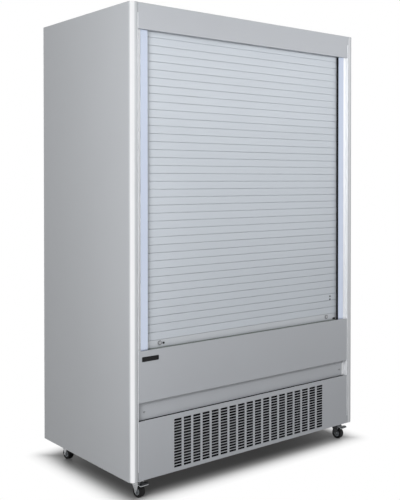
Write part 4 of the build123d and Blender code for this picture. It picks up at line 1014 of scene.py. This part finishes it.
@dataclass
class Screws:
    """Small fasteners: pan-head screws on the sheets and hex bolts in the castor plates.

    `head_profile` gives a pan head's rings from its root up, each by its height and
    radius over those of the head.
    """

    head_radius: float = 4.0 * MM
    head_height: float = 2.2 * MM
    head_root: float = 1.0 * MM
    head_profile: tuple[tuple[float, float], ...] = ((0.35, 1.0), (0.75, 0.9), (1.0, 0.72))
    head_steps: int = 24
    cross: float = 2.6 * MM
    cross_width: float = 0.9 * MM
    cross_depth: float = 1.1 * MM
    rear_scale: float = 0.9
    rear_inset: float = 14 * MM
    rear_end: float = 40 * MM
    cover_screws: int = 6
    wall_screws: int = 7
    bolt_radius: float = 5.2 * MM
    bolt_height: float = 4.0 * MM
    bolt_edge: float = 0.4 * MM
    bolt_pitch: float = 43.0 * MM
    plate: float = 2.5 * MM

    def build(self) -> None:
        """Build every group of fasteners."""
        self.strip_screws()
        self.rear_screws()
        self.castor_bolts()

    def pan_head(self, bm: Mesh, centre: Vector, out: Vector, scale: float = 1.0) -> None:
        """Add a pan head with a cross recess.

        Args:
            bm: The mesh that takes the head.
            centre: Where the head meets the sheet.
            out: The way it stands out.
            scale: Its size over that of a 4 mm screw.
        """
        r, h = self.head_radius * scale, self.head_height * scale
        side = out.orthogonal().normalized()
        up = out.cross(side)
        arm, half = self.cross * scale, self.cross_width * scale / 2
        turns = [2 * math.pi * k / self.head_steps for k in range(self.head_steps)]
        levels = [(-self.head_root, r)] + [(h * a, r * b) for a, b in self.head_profile]
        rings = []
        for height, radius in levels:
            circle = [
                centre + out * height + side * radius * math.cos(t) + up * radius * math.sin(t)
                for t in turns
            ]
            rings.append(ring(bm, circle)[1])
        cross = [
            centre + out * h + Matrix.Rotation(quarter * math.pi / 2, 3, out) @ (side * a + up * b)
            for quarter in range(4)
            for a, b in ((arm, -half), (arm, half), (half, half))
        ]
        mouth, mouth_edges = ring(bm, cross)
        for lower, upper in zip(rings, rings[1:] + [mouth_edges]):
            bmesh.ops.bridge_loops(bm, edges=lower + upper)
        pushed(bm, bm.faces.new(mouth), out * -self.cross_depth * scale)
        base = [v for e in rings[0] for v in e.verts]
        bmesh.ops.contextual_create(bm, geom=list(dict.fromkeys(base)) + rings[0])

    def strip_screws(self) -> None:
        """Build the trim strip's two screws."""
        node = "trim_screws"
        low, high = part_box(node)
        r = (high.z - low.z) / 2
        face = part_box("trim_strip")[0].y
        bm = bmesh.new()
        for x in (low.x + r, high.x - r):
            self.pan_head(bm, Vector((x, face, (low.z + high.z) / 2)), Vector((0, -1, 0)))
        place_piece(bm, "strip_screw_heads", zinc_plate, [node])

    def rear_screws(self) -> None:
        """Build the screws around the rear cover and up the back wall's edges."""
        cover_low, cover_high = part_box("rear_cover")
        wall_low, wall_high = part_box("back_wall")
        back = Vector((0, 1, 0))
        inset = self.rear_inset
        span = cover_high.x - cover_low.x - 2 * inset
        rise = wall_high.z - wall_low.z - 2 * self.rear_end
        bm = bmesh.new()
        for k in range(self.cover_screws):
            x = cover_low.x + inset + k * span / (self.cover_screws - 1)
            for z in (cover_low.z + inset, cover_high.z - inset):
                self.pan_head(bm, Vector((x, cover_high.y, z)), back, self.rear_scale)
        for k in range(self.wall_screws):
            z = wall_low.z + self.rear_end + k * rise / (self.wall_screws - 1)
            for x in (wall_low.x + inset, wall_high.x - inset):
                self.pan_head(bm, Vector((x, wall_high.y, z)), back, self.rear_scale)
        place_piece(bm, "rear_screw_heads", zinc_plate)

    def castor_bolts(self) -> None:
        """Build the four hex bolts under each castor plate."""
        bm = bmesh.new()
        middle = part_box("base_pan")[0].z - self.plate - self.bolt_height / 2
        for corner in CORNERS:
            x, y, _ = joint(f"castor_swivel_{corner}")["pos_m"]
            for dx in (-0.5, 0.5):
                for dy in (-0.5, 0.5):
                    made = bmesh.ops.create_cone(
                        bm, cap_ends=True, segments=6, radius1=self.bolt_radius,
                        radius2=self.bolt_radius, depth=self.bolt_height,
                    )["verts"]
                    place = (x + dx * self.bolt_pitch, y + dy * self.bolt_pitch, middle)
                    bmesh.ops.translate(bm, vec=place, verts=made)
        soften(bm, sharp_edges(bm, 50), self.bolt_edge, segments=1)
        place_piece(bm, "castor_plate_bolts", zinc_plate)


@dataclass
class Castors:
    """The four castor wheels: a moulded tyre on a grey hub.

    `hub_profile` runs from the tyre inwards. Each of its points is given in mm by its
    depth below the wheel's side face and by its radius.
    """

    width: float = 24 * MM
    hub_radius: float = 15 * MM
    lip: float = 1.5 * MM
    crown: float = 2.2 * MM
    fullness: float = 0.6
    tread_steps: int = 12
    hub_profile: tuple[tuple[float, float], ...] = (
        (1.5, 15.0), (2.0, 13.8), (5.0, 12.8), (5.0, 8.7), (1.0, 7.5), (-1.2, 6.0), (-1.2, 3.05),
    )

    def build(self) -> None:
        """Build each wheel's tyre and hub."""
        for corner in CORNERS:
            roll = joint(f"wheel_roll_{corner}")
            self.wheel(corner, Vector(roll["pos_m"]), Vector(roll["axis"]).normalized())

    def wheel(self, corner: str, centre: Vector, axis: Vector) -> None:
        """Build one wheel.

        Args:
            corner: Which castor, such as "front_left".
            centre: The middle of the wheel.
            axis: Its axle's direction.
        """
        node = f"castor_wheel_{corner}"
        body = f"wheel_{corner}"
        half = self.width / 2
        turns = [math.pi * k / self.tread_steps for k in range(self.tread_steps + 1)]
        tread = [
            (half * math.cos(t), centre.z - self.crown * (1 - math.sin(t) ** self.fullness))
            for t in turns
        ]
        side = [(half - self.lip, self.hub_radius), (half, self.hub_radius + self.lip)]
        tyre = side + tread + [(-along, out) for along, out in reversed(side)]
        hub = [(half - depth * MM, radius * MM) for depth, radius in self.hub_profile]
        hub += [(-along, out) for along, out in reversed(hub)]
        bm = bmesh.new()
        turned(bm, tyre + tyre[:1], centre, axis, steps=64)
        place_piece(bm, f"tyre_{corner}", tyre_rubber, [node], body=body)
        bm = bmesh.new()
        turned(bm, hub + hub[:1], centre, axis, steps=48)
        place_piece(bm, f"hub_{corner}", grey_moulding, body=body)


@dataclass
class TicketStrips:
    """Blank cards in the price rails, which lean back like the rails."""

    rows: int = 4
    rail_height: float = 37.0 * MM
    lean: float = 3.0 * MM
    cards: int = 9
    first: float = 30 * MM
    pitch: float = 124 * MM
    width: float = 90 * MM
    card: float = 0.4 * MM
    margin: float = 4.0 * MM
    head_room: float = 6.0 * MM

    def build(self) -> None:
        """Build the cards of all rails, a few to each shelf."""
        low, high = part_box("price_rails")
        rise = (high.z - low.z - self.rail_height) / (self.rows - 1)
        slope = self.lean / self.rail_height
        bm = bmesh.new()
        for row in range(self.rows):
            foot = low.z + row * rise
            bottom = foot + self.margin
            top = foot + self.rail_height - self.margin - self.head_room
            for k in range(self.cards):
                left = low.x + self.first + k * self.pitch
                verts = block(bm, (left, 0, bottom), (left + self.width, self.card, top))
                for vert in verts:
                    vert.co.y += low.y - self.card + (vert.co.z - foot) * slope
        place_piece(bm, "blank_tickets", card)


@dataclass
class StripEnd:
    """White filler that closes the trim strip's right end."""

    width: float = 17 * MM
    thickness: float = 0.8 * MM
    radius: float = 0.4 * MM
    margin: float = 1.0 * MM
    play: float = 0.05 * MM

    def build(self) -> None:
        """Build the filler on the strip's face, from the strip's end inwards."""
        low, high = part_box("trim_strip")
        bm = bmesh.new()
        block(
            bm,
            (high.x - self.width, low.y - self.thickness, low.z + self.margin),
            (high.x, low.y - self.play, high.z - self.margin),
        )
        soften(bm, bm.edges[:], self.radius, segments=2)
        place_piece(bm, "strip_end_filler", white_moulding)


def dress_frame() -> None:
    """Give every CAD node its finish."""
    finish_of = {node: finish for finish, nodes in FINISH_NODES for node in nodes}
    for name, node in frame["nodes"].items():
        material = finish_of[name].build()
        if node.material_slots:
            for slot in node.material_slots:
                slot.material = material
        else:
            node.data.materials.append(material)


# ------------------------------------------------------------------ stage
@dataclass(frozen=True)
class Lamp:
    """One soft rectangular lamp, which lights the fridge but isn't mirrored in it.

    It hangs at `place`, faces the point `aim`, and has its width, height and power.
    """

    name: str
    place: tuple[float, float, float]
    aim: tuple[float, float, float]
    size: tuple[float, float]
    watts: float

    def hang(self) -> None:
        """Make the lamp."""
        light = bpy.data.lights.new(self.name, "AREA")
        light.shape = "RECTANGLE"
        light.size, light.size_y = self.size
        light.energy = self.watts
        lamp = bpy.data.objects.new(self.name, light)
        lamp.visible_glossy = False
        bpy.context.scene.collection.objects.link(lamp)
        way = Vector(self.aim) - Vector(self.place)
        turn = way.to_track_quat("-Z", "Y").to_matrix().to_4x4()
        lamp.matrix_world = Matrix.Translation(self.place) @ turn


@dataclass
class Stage:
    """Pale floor, soft lamps, white surroundings and the camera."""

    focal_px: float = 804.58
    frame_px: tuple[int, int] = (400, 500)
    centre_px: tuple[float, float] = (211.25, 190.92)
    eye: tuple[float, float, float] = (-2.2894, -2.8788, 1.2203)
    yaw: float = 39.05
    pitch: float = 0.776
    sensor: float = 24.0
    floor_half: float = 14.0
    floor_colour: str = "f6f6f6"
    floor_roughness: float = 0.5
    floor_specular: float = 0.2
    bounce_colour: str = "707070"
    ambient_colour: str = "f3f6fb"
    ambient: float = 0.03
    # painted shadow on the floor under the fridge: its colour, where it fades out, and a faint
    # white glow that lifts it
    painted_shadow_colour: str = "585858"
    painted_shadow_from: float = -0.085
    painted_shadow_to: float = 0.055
    painted_shadow_glow: float = 0.035
    white_from: float = -0.04
    white_to: float = 0.09
    rig: tuple[Lamp, ...] = (
        Lamp("front_high", (0.7, -2.0, 1.85), (0.1, -0.35, 1.75), (1.6, 0.6), 24.0),
        Lamp("front_far", (0.3, -4.4, 1.8), (0.0, -0.35, 1.3), (2.4, 1.8), 10.1),
        Lamp("left_strip", (-2.75, -1.75, 1.95), (-0.62, -0.35, 1.6), (0.8, 2.2), 42.0),
        Lamp("left_corner", (-1.5, -0.95, 1.2), (-0.62, -0.35, 1.15), (0.5, 2.2), 10.0),
        Lamp("left_high", (-2.0, -0.2, 2.6), (-0.62, 0.0, 1.6), (1.2, 0.8), 4.0),
        Lamp("right_fill", (3.6, 0.6, 2.2), (0.6, 0.0, 1.0), (2.0, 2.0), 28.0),
        Lamp("back_fill", (0.6, 4.0, 2.4), (0.0, 0.35, 1.0), (2.4, 2.0), 70.0),
        Lamp("top_wash", (0.0, 0.0, 4.4), (0.0, 0.0, 0.0), (3.0, 3.0), 12.0),
    )

    def build(self) -> None:
        """Build the floor, the world, the lamps and the camera."""
        self.floor()
        self.world()
        self.lamps()
        self.camera()

    def floor(self) -> None:
        """Lay a pale floor with a painted shadow under the fridge, which turns to plain white away
        from it.
        """
        bm = bmesh.new()
        bmesh.ops.create_grid(bm, x_segments=1, y_segments=1, size=self.floor_half)
        floor = as_object(bm, "floor")
        material = bpy.data.materials.new("pale_floor")
        tree = emptied(material)
        gap = self.footprint_gap(tree)
        # painted shadow: the floor's colour turns dark towards and under the fridge's footprint
        shaded = (self.painted_shadow_from, self.painted_shadow_to)
        under = ramp(tree, gap, (0.0, 1.0), shaded, "SMOOTHSTEP")
        shader = add(
            tree,
            "ShaderNodeBsdfPrincipled",
            {"Roughness": self.floor_roughness, "Specular IOR Level": self.floor_specular},
            {"Base Color": blended(tree, self.painted_shadow_colour, self.floor_colour, under)},
        )
        dim = add(tree, "ShaderNodeBsdfDiffuse", {"Color": linear(self.bounce_colour)})
        white = add(tree, "ShaderNodeEmission", {"Color": (1, 1, 1, 1), "Strength": 1.0})
        # a faint white glow lifts the painted shadow; plain white takes over away from the fridge
        fading = (self.white_from, self.white_to)
        far = ramp(tree, gap, (self.painted_shadow_glow, 1.0), fading, "SMOOTHSTEP")
        shown = mixed_shader(tree, far, shader.outputs[0], white.outputs[0])
        mixed = mixed_shader(tree, self.seen_directly(tree), dim.outputs[0], shown)
        add(tree, "ShaderNodeOutputMaterial", {}, {"Surface": mixed})
        floor.data.materials.append(material)

    def footprint_gap(self, tree: Tree) -> Socket:
        """Return how far a point of the floor lies outside the fridge's footprint.

        Args:
            tree: The floor material's nodes.

        Returns:
            The distance in metres, below zero under the fridge.
        """
        half = (float(cad_bounds[1][0]), float(cad_bounds[1][1]), 0.0)
        place = add(tree, "ShaderNodeTexCoord").outputs["Object"]
        past = vectors(tree, "SUBTRACT", vectors(tree, "ABSOLUTE", place), half)
        outside = vectors(tree, "LENGTH", vectors(tree, "MAXIMUM", past))
        axes = add(tree, "ShaderNodeSeparateXYZ", {}, {0: past}).outputs
        nearest = combined(tree, "MAXIMUM", axes[0], axes[1])
        return combined(tree, "ADD", outside, combined(tree, "MINIMUM", nearest, 0.0))

    def seen_directly(self, tree: Tree) -> Socket:
        """Return 1 for camera, mirror and see-through rays, and 0 for lighting rays."""
        rays = add(tree, "ShaderNodeLightPath").outputs
        through = combined(tree, "MAXIMUM", rays["Is Camera Ray"], rays["Is Transmission Ray"])
        return combined(tree, "MAXIMUM", through, rays["Is Glossy Ray"])

    def world(self) -> None:
        """Surround the fridge with white that lights it only softly."""
        world = bpy.data.worlds.new("studio")
        bpy.context.scene.world = world
        tree = emptied(world)
        white = add(tree, "ShaderNodeBackground", {"Color": (1, 1, 1, 1), "Strength": 1.0})
        soft = {"Color": linear(self.ambient_colour), "Strength": self.ambient}
        lighting = add(tree, "ShaderNodeBackground", soft)
        seen = self.seen_directly(tree)
        mixed = mixed_shader(tree, seen, lighting.outputs[0], white.outputs[0])
        add(tree, "ShaderNodeOutputWorld", {}, {"Surface": mixed})

    def lamps(self) -> None:
        """Hang the lamps of the rig."""
        for lamp in self.rig:
            lamp.hang()

    def camera(self) -> None:
        """Stand the camera where the photograph was taken from."""
        width, height = self.frame_px
        data = bpy.data.cameras.new("camera")
        data.sensor_fit = "VERTICAL"
        data.sensor_height = self.sensor
        data.lens = self.focal_px * self.sensor / height
        data.shift_x = (width / 2 - self.centre_px[0]) / height
        data.shift_y = -(height / 2 - self.centre_px[1]) / height
        camera = bpy.data.objects.new("camera", data)
        bpy.context.scene.collection.objects.link(camera)
        turn = Matrix.Rotation(math.radians(-self.yaw), 4, "Z") @ Matrix.Rotation(
            math.radians(90 - self.pitch), 4, "X"
        )
        camera.matrix_world = Matrix.Translation(self.eye) @ turn
        bpy.context.scene.camera = camera


def main() -> None:
    logging.basicConfig(level=logging.INFO, format="%(message)s")
    bpy.context.scene.view_settings.view_transform = "Standard"
    dress_frame()
    shell = (SidePanels(), FrontSheets(), KickPanel())
    trim = (Curtain(), NameBlank(), Screws(), Castors(), TicketStrips(), StripEnd())
    for part in (*shell, *trim, Stage()):
        part.build()


if __name__ == "__main__":
    main()
